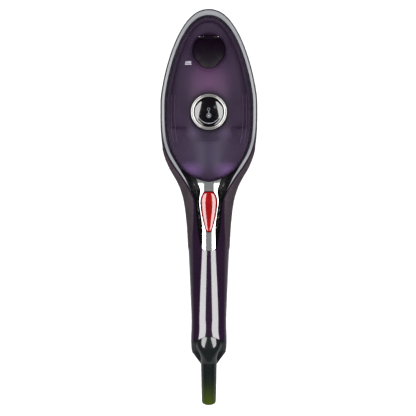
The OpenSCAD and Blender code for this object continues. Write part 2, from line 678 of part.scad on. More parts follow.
soleplate();
heating_element();
chamber_seal();
steam_chamber_cover();
heat_shield();
thermostat();
thermal_fuse();
lower_housing();
upper_housing();
trim_band();
water_tray();
well_seal();
tank_gasket();
tank_cover();
outlet_valve();
filler_lid();
filler_seal();
lid_pin();
knob_ring();
knob_face();
knob_stem();
neck_insert();
trigger_bezel();
steam_button();
button_pin();
pump_body();
pump_plunger();
pump_spring();
inlet_hose();
outlet_hose();
end_cap();
cord_guard();
cord_clamp();
terminal_block();
live_wire();
neutral_wire();
housing_screws();
sole_screws();
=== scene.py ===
import math

import bmesh
import bpy
from mathutils import Matrix, Vector


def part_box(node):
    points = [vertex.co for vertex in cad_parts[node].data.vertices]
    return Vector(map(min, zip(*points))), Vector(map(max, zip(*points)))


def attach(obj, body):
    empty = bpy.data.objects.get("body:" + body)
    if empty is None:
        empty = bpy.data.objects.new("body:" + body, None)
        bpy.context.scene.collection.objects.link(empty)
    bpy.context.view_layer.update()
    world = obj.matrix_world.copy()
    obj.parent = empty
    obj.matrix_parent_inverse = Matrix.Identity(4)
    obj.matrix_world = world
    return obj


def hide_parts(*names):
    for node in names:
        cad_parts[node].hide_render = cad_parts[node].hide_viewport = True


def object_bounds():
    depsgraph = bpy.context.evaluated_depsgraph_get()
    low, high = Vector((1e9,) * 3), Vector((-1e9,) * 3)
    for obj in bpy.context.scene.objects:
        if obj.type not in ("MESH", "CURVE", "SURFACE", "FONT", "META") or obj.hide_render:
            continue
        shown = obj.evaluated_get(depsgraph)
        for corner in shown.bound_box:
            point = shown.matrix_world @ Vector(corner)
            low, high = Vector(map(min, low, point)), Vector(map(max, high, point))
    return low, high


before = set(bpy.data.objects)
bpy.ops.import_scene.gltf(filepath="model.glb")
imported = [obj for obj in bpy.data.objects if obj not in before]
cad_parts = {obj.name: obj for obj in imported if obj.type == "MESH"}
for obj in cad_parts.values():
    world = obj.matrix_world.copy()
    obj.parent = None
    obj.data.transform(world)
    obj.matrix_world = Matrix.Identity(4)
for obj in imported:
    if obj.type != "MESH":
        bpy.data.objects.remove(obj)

# Handheld garment steamer. Shapes are worked out in millimetres in the CAD frame, +Y to the nose and +Z up,
# from tables that follow the design's. Meshes are made in metres.
MM = 0.001
cad_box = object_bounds()


def corners(node):
    """Lowest and highest corner of a CAD node, in millimetres."""
    low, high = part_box(node)
    return low / MM, high / MM


# ---------------------------------------------------------------- places, tables of (y, value), and curves
HALF = 45.0            # half width of the head
WIDEST_Y = 11.0
NOSE_L = 85.4          # from there to the tip of the nose
CAP_Y = -221.0         # corner where the end cap turns in
TAIL_Y = -232.0        # where the cap meets the cord guard
GUARD_Z = 36.5
DECK_Z = 33.0          # ledge under the tank and its trim
RIM_Z = 35.4           # lowest edge of the tank cover
CROWN_Z = 60.0
GAP = 0.2
WALL = 2.2
SLOT_W = 1.1           # rim of the housing outside the trim
TRIM_W = 3.9
TRIM_NOSE = 5.9
TANK_TAIL = -63.8
TANK_TURN = -46.9
WELL_R = 17.6
WELL_Z = 48.0
FILLER_Y = 57.0
FILLER_Z = 53.4
FILLER_TILT = -13.0
FLAP_R = 15.3
TAB_R = 11.8
TAB_Y = -5.7
NECK_R = 11.2
HINGE = (13.1, -0.9)   # the flap's hinge, forward of its centre and below its rim
SEAM_Y = -205.8

# Of the body: half width, height of the parting line, bottom, top, and how square the section is
SIDE = [(-232, 7.6), (-221, 15.5), (-190, 16.1), (-162, 17.2), (-130, 18.7), (-100, 20.6), (-80, 23.4),
        (-66, 28.1), (-50, 37), (-36, 42.2), (-20, 44.4), (-6, 45), (11, 45)]
PART = [(-232, 36.5), (-221, 37.8), (-190, 40.5), (-160, 41.5), (-130, 40.5), (-105, 38), (-80, 34.5),
        (-60, 32), (-45, 31), (96.4, 31)]
BOTTOM = [(-232, 28.9), (-221, 22.5), (-190, 24.5), (-160, 26), (-130, 25.5), (-105, 23.5), (-80, 20),
          (-60, 16.6), (-48, 15.2), (96.4, 15.2)]
TOP = [(-232, 44.1), (-221, 55.6), (-190, 57.4), (-160, 58), (-130, 57), (-105, 55), (-80, 52.6),
       (-60, 50.6), (-45, 44.5), (-25, 39), (-5, 37), (96.4, 37)]
SQUARE = [(-232, 2), (-221, 6), (-190, 6), (-160, 4.5), (-130, 3), (-100, 2.5), (-60, 3.2), (-30, 5),
          (96.4, 5)]
SQUARE_LOW = [(-232, 2), (-221, 2.6), (-130, 2.5), (-100, 2.5), (-60, 3.2), (-30, 5), (96.4, 5)]
# How much the crown of the handle is domed: the slope that it adds for each millimetre from the centre
DOMED = [(-232, 0), (-221, 0.02), (-208, 0.026), (-160, 0.03), (-127, 0.027), (-100, 0.018), (-80, 0),
         (96.4, 0)]
# Half widths of the opening in the housing, the trim's inner edge, the silver inlay and the button
OPENING = [(-124.5, 7.2), (-109, 10), (-81, 13), (-72.5, 16.5), (-60, 24.1), (-49, 31.9), (-38, 38.2),
           (-27, 41.7), (-16, 43.4), (-5, 43.9), (11, 43.9)]
TRIM_IN = [(-72.5, 16.2), (-65.7, 19.5), (-60, 22.2), (-49, 28.8), (-38, 35.1), (-27, 38.9), (-16, 40.6),
           (-5, 41.1), (11, 41.1)]
INLAY = [(-124.5, 6.1), (-104.5, 5.9), (-82.3, 8.7), (-71.7, 7.8), (-62, 11.1), (-50, 14)]
BUTTON = [(-109.9, 1), (-108.6, 2.4), (-104, 3.9), (-97, 5.7), (-90, 6.9), (-82, 7.5), (-76.5, 6.4),
          (-73.6, 4.2), (-73, 2.4)]
OPENING_END = (-124.5, 2.9)   # where the opening starts to round off, and how far it still goes
INLAY_END = (-124.5, 2.7)
# Half widths of the grips' inner edges and of the flat strip down the inlay
GRIP_IN = [(-126, 16.4), (-108, 14.5), (-96, 14.2), (-88, 14), (-80, 14.2), (-73, 17.2), (-66, 21.2),
           (-60, 25.2), (-49, 33), (-38, 39.4), (-32, 41.4)]
STRIPE = [(-127.5, 2.9), (-104, 2.9), (-94, 3.4), (-84, 4.2), (-73, 4.7), (-60, 4.7)]
# The end cap: crown and half width of its spine, how round the spine is, and the crown of the wings beside it
CAP_TOP = [(-232, 44.0), (-229, 47.0), (-225, 50.1), (-220, 53.0), (-215, 54.5), (-205, 56.5)]
CAP_SPINE = [(-232, 7.6), (-227, 7.9), (-222, 9), (-217, 11.2), (-212, 12.8), (-205, 13.8)]
CAP_ROUND = [(-232, 2), (-227, 2.6), (-222, 4), (-217, 5), (-205, 5)]
CAP_WING = [(-232, 37.6), (-226, 40.4), (-221, 44.2), (-216, 49), (-211, 53.6), (-205, 56.5)]


def clamp(v):
    return min(1.0, max(0.0, v))


def smooth(v):
    """Eases from 0 to 1."""
    return v * v * (3 - 2 * v)


def along(table, y):
    """Value of a table of (y, value) at y, on a smooth curve through its rows."""
    i = 0
    while i < len(table) - 2 and y >= table[i + 1][0]:
        i += 1

    def slope(k):
        a, b = max(k - 1, 0), min(k + 1, len(table) - 1)
        return (table[b][1] - table[a][1]) / (table[b][0] - table[a][0])
    h = table[i + 1][0] - table[i][0]
    u = clamp((y - table[i][0]) / h)
    v = 1 - u
    return (v * v * (1 + 2 * u) * table[i][1] + u * u * (1 + 2 * v) * table[i + 1][1]
            + h * u * v * (v * slope(i) - u * slope(i + 1)))


def body(table, y):
    """The same, but straight past the corner of the end cap."""
    if y >= CAP_Y:
        return along(table, y)
    (y0, a), (y1, b) = table[0], table[1]
    return a + (y - y0) / (y1 - y0) * (b - a)


def nose(t):
    """Share of the head's half width at position t along the nose."""
    return max(0.0, 1 - t ** 1.36) ** 0.453


def lean(table, y):
    """How much longer than its inset a step across a slanting side is."""
    return math.hypot(1, along(table, y + 0.5) - along(table, y - 0.5))


def half_w(y):
    """Half width of the body at y."""
    return HALF * nose((y - WIDEST_Y) / NOSE_L) if y > WIDEST_Y else body(SIDE, y)


def domed(x, y):
    """How far the handle's crown has dropped at x."""
    return 0.5 * body(DOMED, y) * x * x


def top_z(x, y):
    """Height of the upper skin at x, y, behind the nose."""
    n, z = body(SQUARE, y), body(PART, y)
    s = max(0.0, 1 - (abs(x) / half_w(y)) ** n) ** (1 / n)
    return z + (body(TOP, y) - z - domed(x, y)) * s


def rounded_end(table, end, y):
    """A table of half widths that closes in an elliptical end."""
    if y >= end[0]:
        return along(table, y)
    return table[0][1] * math.sqrt(max(0.0, 1 - ((end[0] - y) / end[1]) ** 2))


def opening(y):
    """Half width of the housing's opening at y."""
    return rounded_end(OPENING, OPENING_END, y)


def inlay(y):
    """Half width of the silver inlay at y."""
    return rounded_end(INLAY, INLAY_END, y)


def edge_z(y):
    """Height of the housing's edge round the opening."""
    v = min(y, 0.0)
    return top_z(opening(v), v)


def seam(x):
    """Where the handle ends and the end cap starts."""
    side = min(abs(x), 9.5)
    return SEAM_Y - 0.032 * side ** 2 - 0.25 * (abs(x) - side)


def steps(a, b, n):
    """From a to b in n equal steps."""
    return [a + (b - a) * i / n for i in range(n + 1)]


def arc(a, b, n):
    """From a to b in n steps that get finer towards b."""
    return [a + (b - a) * math.sin(math.pi / 2 * i / n) for i in range(n + 1)]


def nose_turns(n):
    """Positions along the nose, from its tip, 1, to its root, 0."""
    return [math.cos(math.pi / 2 * i / n) for i in range(n + 1)]


def on_nose(t, d, d_front=None):
    """Point of the nose's outline inset by d, at position t."""
    front = d if d_front is None else d_front
    return (HALF - d) * nose(t), WIDEST_Y + (NOSE_L - front) * t


# ---------------------------------------------------------------- mesh making
def weld(bm, distance=2e-6):
    """Joins points that coincide and turns all faces outwards."""
    bmesh.ops.remove_doubles(bm, verts=bm.verts, dist=distance)
    bmesh.ops.dissolve_degenerate(bm, dist=1e-7, edges=bm.edges)
    bmesh.ops.recalc_face_normals(bm, faces=bm.faces)


def new_object(name, verts, faces, mirror=False, place=None):
    """A mesh object from points in millimetres. mirror adds its image across x = 0."""
    bm = bmesh.new()
    for side in ((1, -1) if mirror else (1,)):
        made = [bm.verts.new((side * x * MM, y * MM, z * MM)) for x, y, z in verts]
        for f in faces:
            ring = [made[i] for i in (f if side > 0 else reversed(f))]
            if len(set(ring)) == len(ring):
                try:
                    bm.faces.new(ring)
                except ValueError:
                    pass
    weld(bm)
    mesh = bpy.data.meshes.new(name)
    bm.to_mesh(mesh)
    bm.free()
    if place is not None:
        mesh.transform(place)
    obj = bpy.data.objects.new(name, mesh)
    bpy.context.scene.collection.objects.link(obj)
    return obj


def grid_faces(rows, cols, looped_rows=False, skip=None):
    """Faces between rows of cols points each; every row closes on itself."""
    faces = []
    for j in range(rows if looped_rows else rows - 1):
        for k in range(cols):
            if skip and skip(j, k):
                continue
            a, b = j * cols, (j + 1) % rows * cols
            faces.append((a + k, b + k, b + (k + 1) % cols, a + (k + 1) % cols))
    return faces


def loft(name, rings, looped=False, **more):
    """A closed solid through rings with the same number of points."""
    n = len(rings[0])
    verts = [p for ring in rings for p in ring]
    faces = grid_faces(len(rings), n, looped_rows=looped)
    if not looped:
        faces += [tuple(range(n)), tuple(len(verts) - n + i for i in reversed(range(n)))]
    return new_object(name, verts, faces, **more)


def half_loft(name, rings):
    """The right half of a solid that mirrors across x = 0, with a face on its last ring. Faces that lie on
    x = 0 are left out."""
    n = len(rings[0])
    verts = [p for ring in rings for p in ring]

    def inside(j, k):
        four = (rings[j][k], rings[j][(k + 1) % n], rings[j + 1][k], rings[j + 1][(k + 1) % n])
        return all(abs(p[0]) < 1e-6 for p in four)
    faces = grid_faces(len(rings), n, skip=inside)
    faces.append(tuple(len(verts) - n + i for i in reversed(range(n))))
    return new_object(name, verts, faces, mirror=True)


def turns(n):
    """n angles round a full turn."""
    return [2 * math.pi * i / n for i in range(n)]


def turned(t, r, z):
    """Point at angle t and distance r from the Z axis."""
    return r * math.cos(t), r * math.sin(t), z


def lathe(name, profile, n=96, **more):
    """A closed profile of (radius, height) turned about Z."""
    return loft(name, [[turned(t, r, z) for r, z in profile] for t in turns(n)], looped=True, **more)


def cut(obj, cutter):
    """Takes the cutter away from an object and deletes the cutter."""
    mod = obj.modifiers.new("cut", "BOOLEAN")
    mod.operation = "DIFFERENCE"
    mod.solver = "EXACT"
    mod.object = cutter
    result = bpy.data.meshes.new_from_object(obj.evaluated_get(bpy.context.evaluated_depsgraph_get()))
    obj.modifiers.clear()
    obj.data = result
    bpy.data.objects.remove(cutter)
    bm = bmesh.new()
    bm.from_mesh(obj.data)
    weld(bm)
    bm.to_mesh(obj.data)
    bm.free()


def prism(name, outline, low, high, place=None):
    """An outline of (x, y) points, raised from low to high."""
    rings = [[(x, y, z) for x, y in outline] for z in (low, high)]
    return loft(name, rings, place=place)


def joined(name, parts):
    """One object from several."""
    bm = bmesh.new()
    for part in parts:
        bm.from_mesh(part.data)
        bpy.data.objects.remove(part)
    mesh = bpy.data.meshes.new(name)
    bm.to_mesh(mesh)
    bm.free()
    obj = bpy.data.objects.new(name, mesh)
    bpy.context.scene.collection.objects.link(obj)
    return obj


def finish_piece(obj, body_name, slot, nodes=(), sharp=35, material=None):
    """Gives a piece its material, shading and body, and hides the CAD nodes it stands for."""
    obj.data.materials.clear()
    obj.data.materials.append(material or MATERIALS[slot])
    for face in obj.data.polygons:
        face.use_smooth = True
        face.material_index = 0
    obj.data.set_sharp_from_angle(angle=math.radians(sharp))
    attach(obj, body_name)
    if nodes:
        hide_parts(*nodes)


# ---------------------------------------------------------------- materials
LIGHT_LEVEL = 2.41     # how bright a white surface that faces up comes out under the lights


def linear(code):
    """Linear colour of a two-digit-per-channel colour code."""
    values = [int(code[i:i + 2], 16) / 255 for i in (0, 2, 4)]
    return tuple(v / 12.92 if v <= 0.04045 else ((v + 0.055) / 1.055) ** 2.4 for v in values)


def paint(code, share=1.0):
    """The surface colour that looks like the given one under the lights."""
    return tuple(share * v / LIGHT_LEVEL for v in linear(code))


SOCKETS = {"metallic": "Metallic", "ior": "IOR", "alpha": "Alpha", "coat": "Coat Weight",
           "coat_rough": "Coat Roughness", "through": "Transmission Weight"}


class Nodes:
    """A node tree with short ways to add and link nodes."""

    def __init__(self, name):
        self.material = bpy.data.materials.new(name)
        self.material.use_nodes = True
        self.tree = self.material.node_tree
        self.shader = self.tree.nodes["Principled BSDF"]
        self.coords = self.add("ShaderNodeTexCoord").outputs["Object"]

    def add(self, kind, **values):
        node = self.tree.nodes.new(kind)
        for key, value in values.items():
            setattr(node, key, value)
        return node

    def link(self, source, target):
        self.tree.links.new(source, target)

    def noise(self, scale, detail=3.0, stretch=(1, 1, 1)):
        place = self.add("ShaderNodeMapping")
        place.inputs["Scale"].default_value = stretch
        self.link(self.coords, place.inputs["Vector"])
        node = self.add("ShaderNodeTexNoise")
        node.inputs["Scale"].default_value = scale
        node.inputs["Detail"].default_value = detail
        self.link(place.outputs["Vector"], node.inputs["Vector"])
        return node.outputs["Fac"]

    def spread(self, source, low, high, from_low=0.3, from_high=0.7):
        node = self.add("ShaderNodeMapRange")
        ends = {"From Min": from_low, "From Max": from_high, "To Min": low, "To Max": high}
        for key, value in ends.items():
            node.inputs[key].default_value = value
        self.link(source, node.inputs["Value"])
        return node.outputs["Result"]

    def math(self, operation, source, value):
        node = self.add("ShaderNodeMath", operation=operation)
        self.link(source, node.inputs[0])
        node.inputs[1].default_value = value
        return node.outputs["Value"]

    def mix(self, factor, a, b):
        node = self.add("ShaderNodeMix", data_type="RGBA")
        for key, value in ((0, factor), (6, a), (7, b)):
            if isinstance(value, tuple):
                node.inputs[key].default_value = (*value, 1)
            else:
                self.link(value, node.inputs[key])
        return node.outputs[2]

    def spot(self, centre, radius):
        """1 in the centre, in millimetres, falling to 0 at the radius along each axis."""
        place = self.add("ShaderNodeMapping")
        place.inputs["Location"].default_value = tuple(-c / r for c, r in zip(centre, radius))
        place.inputs["Scale"].default_value = tuple(1 / (r * MM) for r in radius)
        self.link(self.coords, place.inputs["Vector"])
        node = self.add("ShaderNodeTexGradient", gradient_type="SPHERICAL")
        self.link(place.outputs["Vector"], node.inputs["Vector"])
        return node.outputs["Fac"]

    def axes(self):
        node = self.add("ShaderNodeSeparateXYZ")
        self.link(self.coords, node.inputs["Vector"])
        return [node.outputs[k] for k in "XYZ"]

    def bump(self, height, strength, distance_mm):
        node = self.add("ShaderNodeBump")
        node.inputs["Strength"].default_value = strength
        node.inputs["Distance"].default_value = distance_mm * MM
        self.link(height, node.inputs["Height"])
        self.link(node.outputs["Normal"], self.shader.inputs["Normal"])

    def edge_wear(self, start=0.53, end=0.62):
        """From 0 on flat faces to 1 on sharp convex edges."""
        geometry = self.add("ShaderNodeNewGeometry")
        return self.spread(geometry.outputs["Pointiness"], 0.0, 1.0, start, end)

    def drift(self, scale, detail=3.0):
        """Slow change between 0 and 1 over the surface."""
        return self.spread(self.noise(scale, detail), 0.0, 1.0)

    def paint_light_patch(self, tone, centre, radius, weight, code):
        """The tone with a soft patch of another colour at a place on the object: light painted into the
        colour.
        """
        share = self.math("MULTIPLY", self.spot((*centre, 0), (*radius, 1000)), weight)
        return self.mix(share, tone, paint(code, 1.8))

    def skin(self, tone, rough, grain, **values):
        """A shader with this colour, a roughness and a fine bump that noise makes uneven, and other values.
        rough is scale, detail, lowest and highest; grain is scale, strength and depth in millimetres."""
        sockets = self.shader.inputs
        self.link(tone, sockets["Base Color"])
        self.link(self.spread(self.noise(*rough[:2]), *rough[2:]), sockets["Roughness"])
        self.bump(self.noise(grain[0], 2.0), *grain[1:])
        for name, value in values.items():
            sockets[SOCKETS[name]].default_value = value
        return self.material


def surface(name, colour, rough, *, metallic=0.0, coat=0.0, coat_rough=0.03, ior=1.5, vary=0.12,
            rough_vary=0.05, grain=900, grain_depth=0.01, grain_strength=0.15, wear=0.25, through=0.0):
    """A moulded, cast or drawn surface: colour drifts a little, gloss is uneven, the skin has a fine grain,
    and edges are rubbed lighter."""
    m = Nodes(name)
    dark = tuple(c * (1 - vary) for c in colour)
    light = tuple(min(1.0, c * (1 + vary)) for c in colour)
    tone = m.mix(m.drift(60, 4.0), dark, light)
    if wear:
        rubbed = tuple(min(1.0, c * 1.6 + 0.02) for c in colour)
        tone = m.mix(m.math("MULTIPLY", m.edge_wear(), wear), tone, rubbed)
    return m.skin(tone, (180, 5.0, max(0.02, rough - rough_vary), rough + rough_vary),
                  (grain, grain_strength, grain_depth), metallic=metallic, ior=ior, coat=coat,
                  coat_rough=coat_rough, through=through)


def tank_plastic():
    """Smoky violet plastic that lets the walls inside show. Light is painted into its colour at places on the
    tank: a rosy painted glow over the water, a bluish painted sheen towards the tail, paler violet painted
    highlights at the tail and beside the dial, and painted shade in a ring round the dial."""
    m = Nodes("violet_tank")
    tone = m.mix(m.drift(26), paint("291d31", 1.8), paint("322239", 1.8))
    # Painted glow: a rosy patch over the water stands in for light glowing in the plastic.
    rosy = m.math("POWER", m.spot((0, 27, 0), (26, 26, 1000)), 1.2)
    tone = m.mix(rosy, tone, paint("643e64", 1.8))
    # Painted sheen: a paler bluish patch over the rear of the tank.
    tone = m.paint_light_patch(tone, (0, -38), (22, 20), 0.6, "383850")
    for side in (-1, 1):
        # Painted highlights: paler violet patches on each side of the tail.
        tone = m.paint_light_patch(tone, (16 * side, -53), (14, 9), 0.8, "75568c")
        # Painted highlights: paler violet patches beside the dial.
        tone = m.paint_light_patch(tone, (14 * side, -19), (8, 8), 0.6, "54446a")
    # Painted shade: the tank is darker in a ring round the dial.
    well_shade = m.spread(m.spot((0, 0, 0), (21, 21, 1000)), 0.0, 0.85, 0.0, 0.2)
    tone = m.mix(well_shade, tone, paint("120b18", 1.8))
    return m.skin(tone, (90, 4.0, 0.22, 0.28), (700, 0.06, 0.01), alpha=0.45, ior=1.14)


def tray_plastic():
    """Violet tray; the wall that stands on it is darker."""
    m = Nodes("tray_violet")
    floor_tone = m.mix(m.drift(40), (0.075, 0.045, 0.1), (0.1, 0.062, 0.13))
    high = m.spread(m.axes()[2], 0.0, 1.0, 0.0352, 0.0368)
    tone = m.mix(high, floor_tone, (0.012, 0.01, 0.016))
    return m.skin(tone, (90, 4.0, 0.4, 0.5), (900, 0.15, 0.01))


def handle_plastic():
    """Glossy plum plastic of the handle."""
    m = Nodes("plum_gloss")
    tone = m.mix(m.drift(18), paint("25142a"), paint("2f1b35"))
    return m.skin(tone, (260, 5.0, 0.10, 0.16), (140, 0.05, 0.01), coat=1.0, coat_rough=0.02, ior=1.2)


def grip_rubber():
    """Soft matt rubber, rubbed paler on its dots."""
    m = Nodes("dotted_grip")
    tone = m.mix(m.drift(120, 5.0), paint("392c36"), paint("4b3d46"))
    worn = m.math("MULTIPLY", m.edge_wear(0.5, 0.6), 0.35)
    return m.skin(m.mix(worn, tone, paint("75666f")), (400, 4.0, 0.5, 0.68), (2600, 0.3, 0.02), ior=1.3)


def red_gloss():
    """Glossy red with a faint fleck."""
    m = Nodes("red_button_gloss")
    speck = m.spread(m.noise(900, 5.0), 0.0, 1.0, 0.45, 0.75)
    deep = m.mix(m.drift(50), paint("9a0302"), paint("c00504"))
    tone = m.mix(m.math("MULTIPLY", speck, 0.35), deep, paint("e01a12"))
    return m.skin(tone, (300, 4.0, 0.12, 0.2), (700, 0.04, 0.01), coat=1.0, coat_rough=0.02, ior=1.15)


def cap_gloss(name, glow):
    """Greenish black gloss; with glow, a painted olive glow that grows towards the cord guard's end."""
    m = Nodes(name)
    tone = m.mix(m.drift(30), paint("121a1c"), paint("1d2322"))
    if glow:
        end = corners("cord_guard")[0].y * MM
        # Painted glow: olive colour rising towards the guard's end stands in for light in the rubber.
        near_end = m.spread(m.axes()[1], 1.0, 0.0, end, end + 0.028)
        tone = m.mix(m.math("POWER", near_end, 1.6), tone, paint("4c5c14"))
    return m.skin(tone, (250, 4.0, 0.16, 0.26), (400, 0.06, 0.01), coat=0.8, coat_rough=0.06, ior=1.2)


def brushed(name, colour, rough):
    """Metal with fine lines along Y."""
    m = Nodes(name)
    s = m.shader.inputs
    fine = m.noise(2500, 2.0, (1.0, 0.03, 1.0))
    m.link(m.mix(m.drift(40), tuple(c * 0.92 for c in colour), colour), s["Base Color"])
    m.link(m.spread(fine, rough - 0.05, rough + 0.08), s["Roughness"])
    m.bump(fine, 0.12, 0.01)
    s["Metallic"].default_value = 1.0
    return m.material


MATERIALS = {
    "sole_metal": brushed("brushed_sole", (0.62, 0.62, 0.64), 0.28),
    "heater_tube": surface("heater_scale", (0.09, 0.085, 0.08), 0.55, metallic=0.6, vary=0.3,
                           grain_strength=0.4),
    "silicone": surface("red_silicone", (0.32, 0.10, 0.05), 0.6, vary=0.1, grain_strength=0.3),
    "cast_alloy": surface("cast_alloy", (0.42, 0.42, 0.43), 0.45, metallic=0.9, grain=1500,
                          grain_strength=0.5, grain_depth=0.05),
    "shield_plastic": surface("dark_shield", paint("2c2930"), 0.5, grain=1800, grain_strength=0.35,
                              grain_depth=0.03),
    "thermostat_metal": surface("nickel_cup", (0.55, 0.53, 0.48), 0.3, metallic=1.0),
    "lower_plastic": surface("lower_plum", paint("2b2030"), 0.34, coat=0.3, coat_rough=0.12, grain=1500,
                             grain_strength=0.25, grain_depth=0.02),
    "silver_trim": surface("silver_trim", (0.18, 0.185, 0.197), 0.24, ior=1.33, vary=0.04, wear=0.1),
    "tray_plastic": tray_plastic(),
    "soft_seal": surface("black_seal", paint("24222a"), 0.7, grain_strength=0.3),
    "flap_plastic": surface("flap_black_violet", paint("120416"), 0.4, ior=1.17, wear=0.1),
    "steel": surface("steel_pin", (0.58, 0.58, 0.6), 0.25, metallic=1.0),
    "bright_chrome": surface("bright_chrome", (0.4, 0.39, 0.38), 0.1, metallic=0.7, rough_vary=0.03,
                             vary=0.02, wear=0.0, grain_strength=0.03),
    "black_gloss": surface("dial_black", paint("0c060c"), 0.1, coat=1.0, ior=1.15, wear=0.0,
                           grain_strength=0.03),
    "brass_stem": surface("brass_stem", (0.55, 0.42, 0.2), 0.3, metallic=1.0),
    "black_satin": surface("insert_black", paint("0d0d0e"), 0.28, coat=0.5, coat_rough=0.15, wear=0.2),
    "pump_plastic": surface("pump_white", (0.55, 0.54, 0.5), 0.42),
    "hose_silicone": surface("hose_milky", (0.5, 0.48, 0.44), 0.5, through=0.3),
    "terminal_plastic": surface("terminal_cream", (0.52, 0.5, 0.42), 0.45),
    "live_sleeve": surface("live_brown", (0.16, 0.07, 0.03), 0.5),
    "neutral_sleeve": surface("neutral_blue", (0.03, 0.09, 0.3), 0.5),
    "tank_plastic": tank_plastic(),
    "handle_plastic": handle_plastic(),
    "red_gloss": red_gloss(),
    "guard_rubber": cap_gloss("guard_green_black", True),
}
CAP = cap_gloss("cap_green_black", False)
GRIP = grip_rubber()
# Materials of the pieces that don't look like the rest of their slot
INLAY_METAL = surface("inlay_silver", (0.1, 0.101, 0.103), 0.08, ior=2.6, rough_vary=0.03, vary=0.03,
                      wear=0.0, grain_strength=0.05)
PRINT = surface("pale_print", paint("c3cdd8"), 0.5, wear=0.0)
PRINT_DIM = surface("grey_print", paint("5f6b76"), 0.5, wear=0.0)
MARK = surface("level_print", (0.5, 0.48, 0.56), 0.5, wear=0.0)
# The ribs are real raised lines; their paler violet is a painted highlight along them.
RIB_PAINTED_HIGHLIGHT = surface("violet_rib_painted_highlight", paint("5a4864"), 0.4, wear=0.0)

SLOT_OF = {
    "heating_element": "heater_tube", "chamber_seal": "silicone", "steam_chamber_cover": "cast_alloy",
    "thermostat": "thermostat_metal", "thermal_fuse": "thermostat_metal", "well_seal": "silicone",
    "tank_gasket": "soft_seal", "outlet_valve": "silicone", "filler_seal": "soft_seal", "lid_pin": "steel",
    "knob_stem": "brass_stem", "button_pin": "steel", "pump_body": "pump_plastic", "pump_plunger": "steel",
    "pump_spring": "steel", "inlet_hose": "hose_silicone", "outlet_hose": "hose_silicone",
    "cord_clamp": "shield_plastic", "terminal_block": "terminal_plastic", "live_wire": "live_sleeve",
    "neutral_wire": "neutral_sleeve", "housing_screws": "steel", "sole_screws": "steel",
    "water_tray": "tray_plastic",
}
for node_name, slot_name in SLOT_OF.items():
    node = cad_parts[node_name]
    node.data.materials.clear()
    node.data.materials.append(MATERIALS[slot_name])


# ---------------------------------------------------------------- housing
OUTER_STEPS = 36       # points over half a section, outside and inside
INNER_STEPS = 12
LEDGE_IN = 8.0         # how far in the ledge under the tank reaches
LEDGE_END = -46.0      # the ledge stops here
LIP = 0.3              # round-over at the edges of the two shells
BEND_Y = -190          # from here to the end cap the rings bend to the seam's curve


def corner_of(square):
    """Where the corner of such a section is, as a share of its width and of its height."""
    return 2 ** (-1 / square)


def position(x, w, square):
    """Where on a section of half width w the point x stands: 0 on the parting line, 2 in the middle."""
    share, corner = min(1.0, x / w), corner_of(square)
    return 2 - share / corner if share < corner else (1 - share ** square) ** (1 / square) / corner


def on_section(q, square):
    """Share of the width and of the height at position q of a section."""
    corner = corner_of(square)
    if q < 1:
        return (1 - (q * corner) ** square) ** (1 / square), q * corner
    x = max(0.0, 2 - q) * corner
    return x, (1 - x ** square) ** (1 / square)


def arc_profile(y, end_x, n, wall, up):
    """Points (inset, z) over the body's section at y, from the parting line to where it is end_x wide."""
    table = SQUARE if up else SQUARE_LOW
    square, part, w = body(table, y), body(PART, y), half_w(min(y, WIDEST_Y))
    h = (body(TOP, y) - part if up else part - body(BOTTOM, y)) - wall
    span = w - wall * lean(SIDE, max(y, CAP_Y + 1))
    last = position(end_x, span, square)
    out = []
    for i in range(n + 1):
        x, s = on_section(last * i / n, square)
        x *= span
        z = part + (GAP + (h - domed(x, y)) * s if up else -h * s)
        out.append((w - x, z))
    return out


def shell_profile(y, x_end, up):
    """Outer and reversed inner points of a shell's section, with a small chamfer at the parting line."""
    outer = arc_profile(y, x_end, OUTER_STEPS, 0.0, up)
    inner = arc_profile(y, x_end, INNER_STEPS, WALL, up)[::-1]
    z, way = outer[0][1], 1 if up else -1
    return [(0.25, z), (0.03, z + way * 0.12), (0, z + way * LIP)] + outer[1:], inner


def upper_profile(y):
    """(inset, z) round the upper shell's section; the outer skin rolls over into the opening."""
    x_open = opening(min(y, WIDEST_Y)) if y > OPENING_END[0] - OPENING_END[1] else 0.0
    outer, inner = shell_profile(y, x_open, True)
    edge = outer[-1]
    roll = LIP if x_open > 0.5 else 0.0
    outer = outer[:-1] + [(edge[0] - 0.7 * roll, edge[1]), (edge[0] - 0.2 * roll, edge[1] - 0.25 * roll),
                          (edge[0], edge[1] - roll)]
    if y > LEDGE_END:
        part = body(PART, y) + GAP
        inner = [(edge[0], DECK_Z), (LEDGE_IN, DECK_Z), (LEDGE_IN, part)]
        last = INNER_STEPS - 2
        inner += [(LEDGE_IN - (LEDGE_IN - 0.3) * i / last, part) for i in range(1, last + 1)]
    else:
        inner[-1] = (WALL, inner[-1][1])
    return outer + inner


def lower_profile(y):
    """(inset, z) round the lower shell's section."""
    outer, inner = shell_profile(y, 0.0, False)
    return outer + inner


def body_rings(profile):
    """Right half rings of the body, from the nose to the seam."""
    rings = []
    for t in nose_turns(44)[:-1]:
        rings.append([(*on_nose(t, min(d, HALF)), z) for d, z in profile(WIDEST_Y)])
    ys = steps(WIDEST_Y, LEDGE_END + 0.01, 36) + steps(LEDGE_END, -124.5, 56) + arc(-124.5, -127.4, 12)[1:]
    ys += steps(-129, BEND_Y, 30)
    for y in ys:
        w = half_w(y)
        rings.append([(w - d, y, z) for d, z in profile(y)])
    for v in steps(0, 1, 14)[1:]:
        y = BEND_Y + v * (SEAM_Y - 3 - BEND_Y)
        ring = []
        for d, z in profile(y):
            x = half_w(y) - d
            ring.append((x, BEND_Y + v * (seam(x) - BEND_Y), z))
        rings.append(ring)
    return rings


def upper_housing():
    obj = half_loft("upper_shell", body_rings(upper_profile))
    finish_piece(obj, "housing", "handle_plastic", ["upper_housing"], sharp=50)


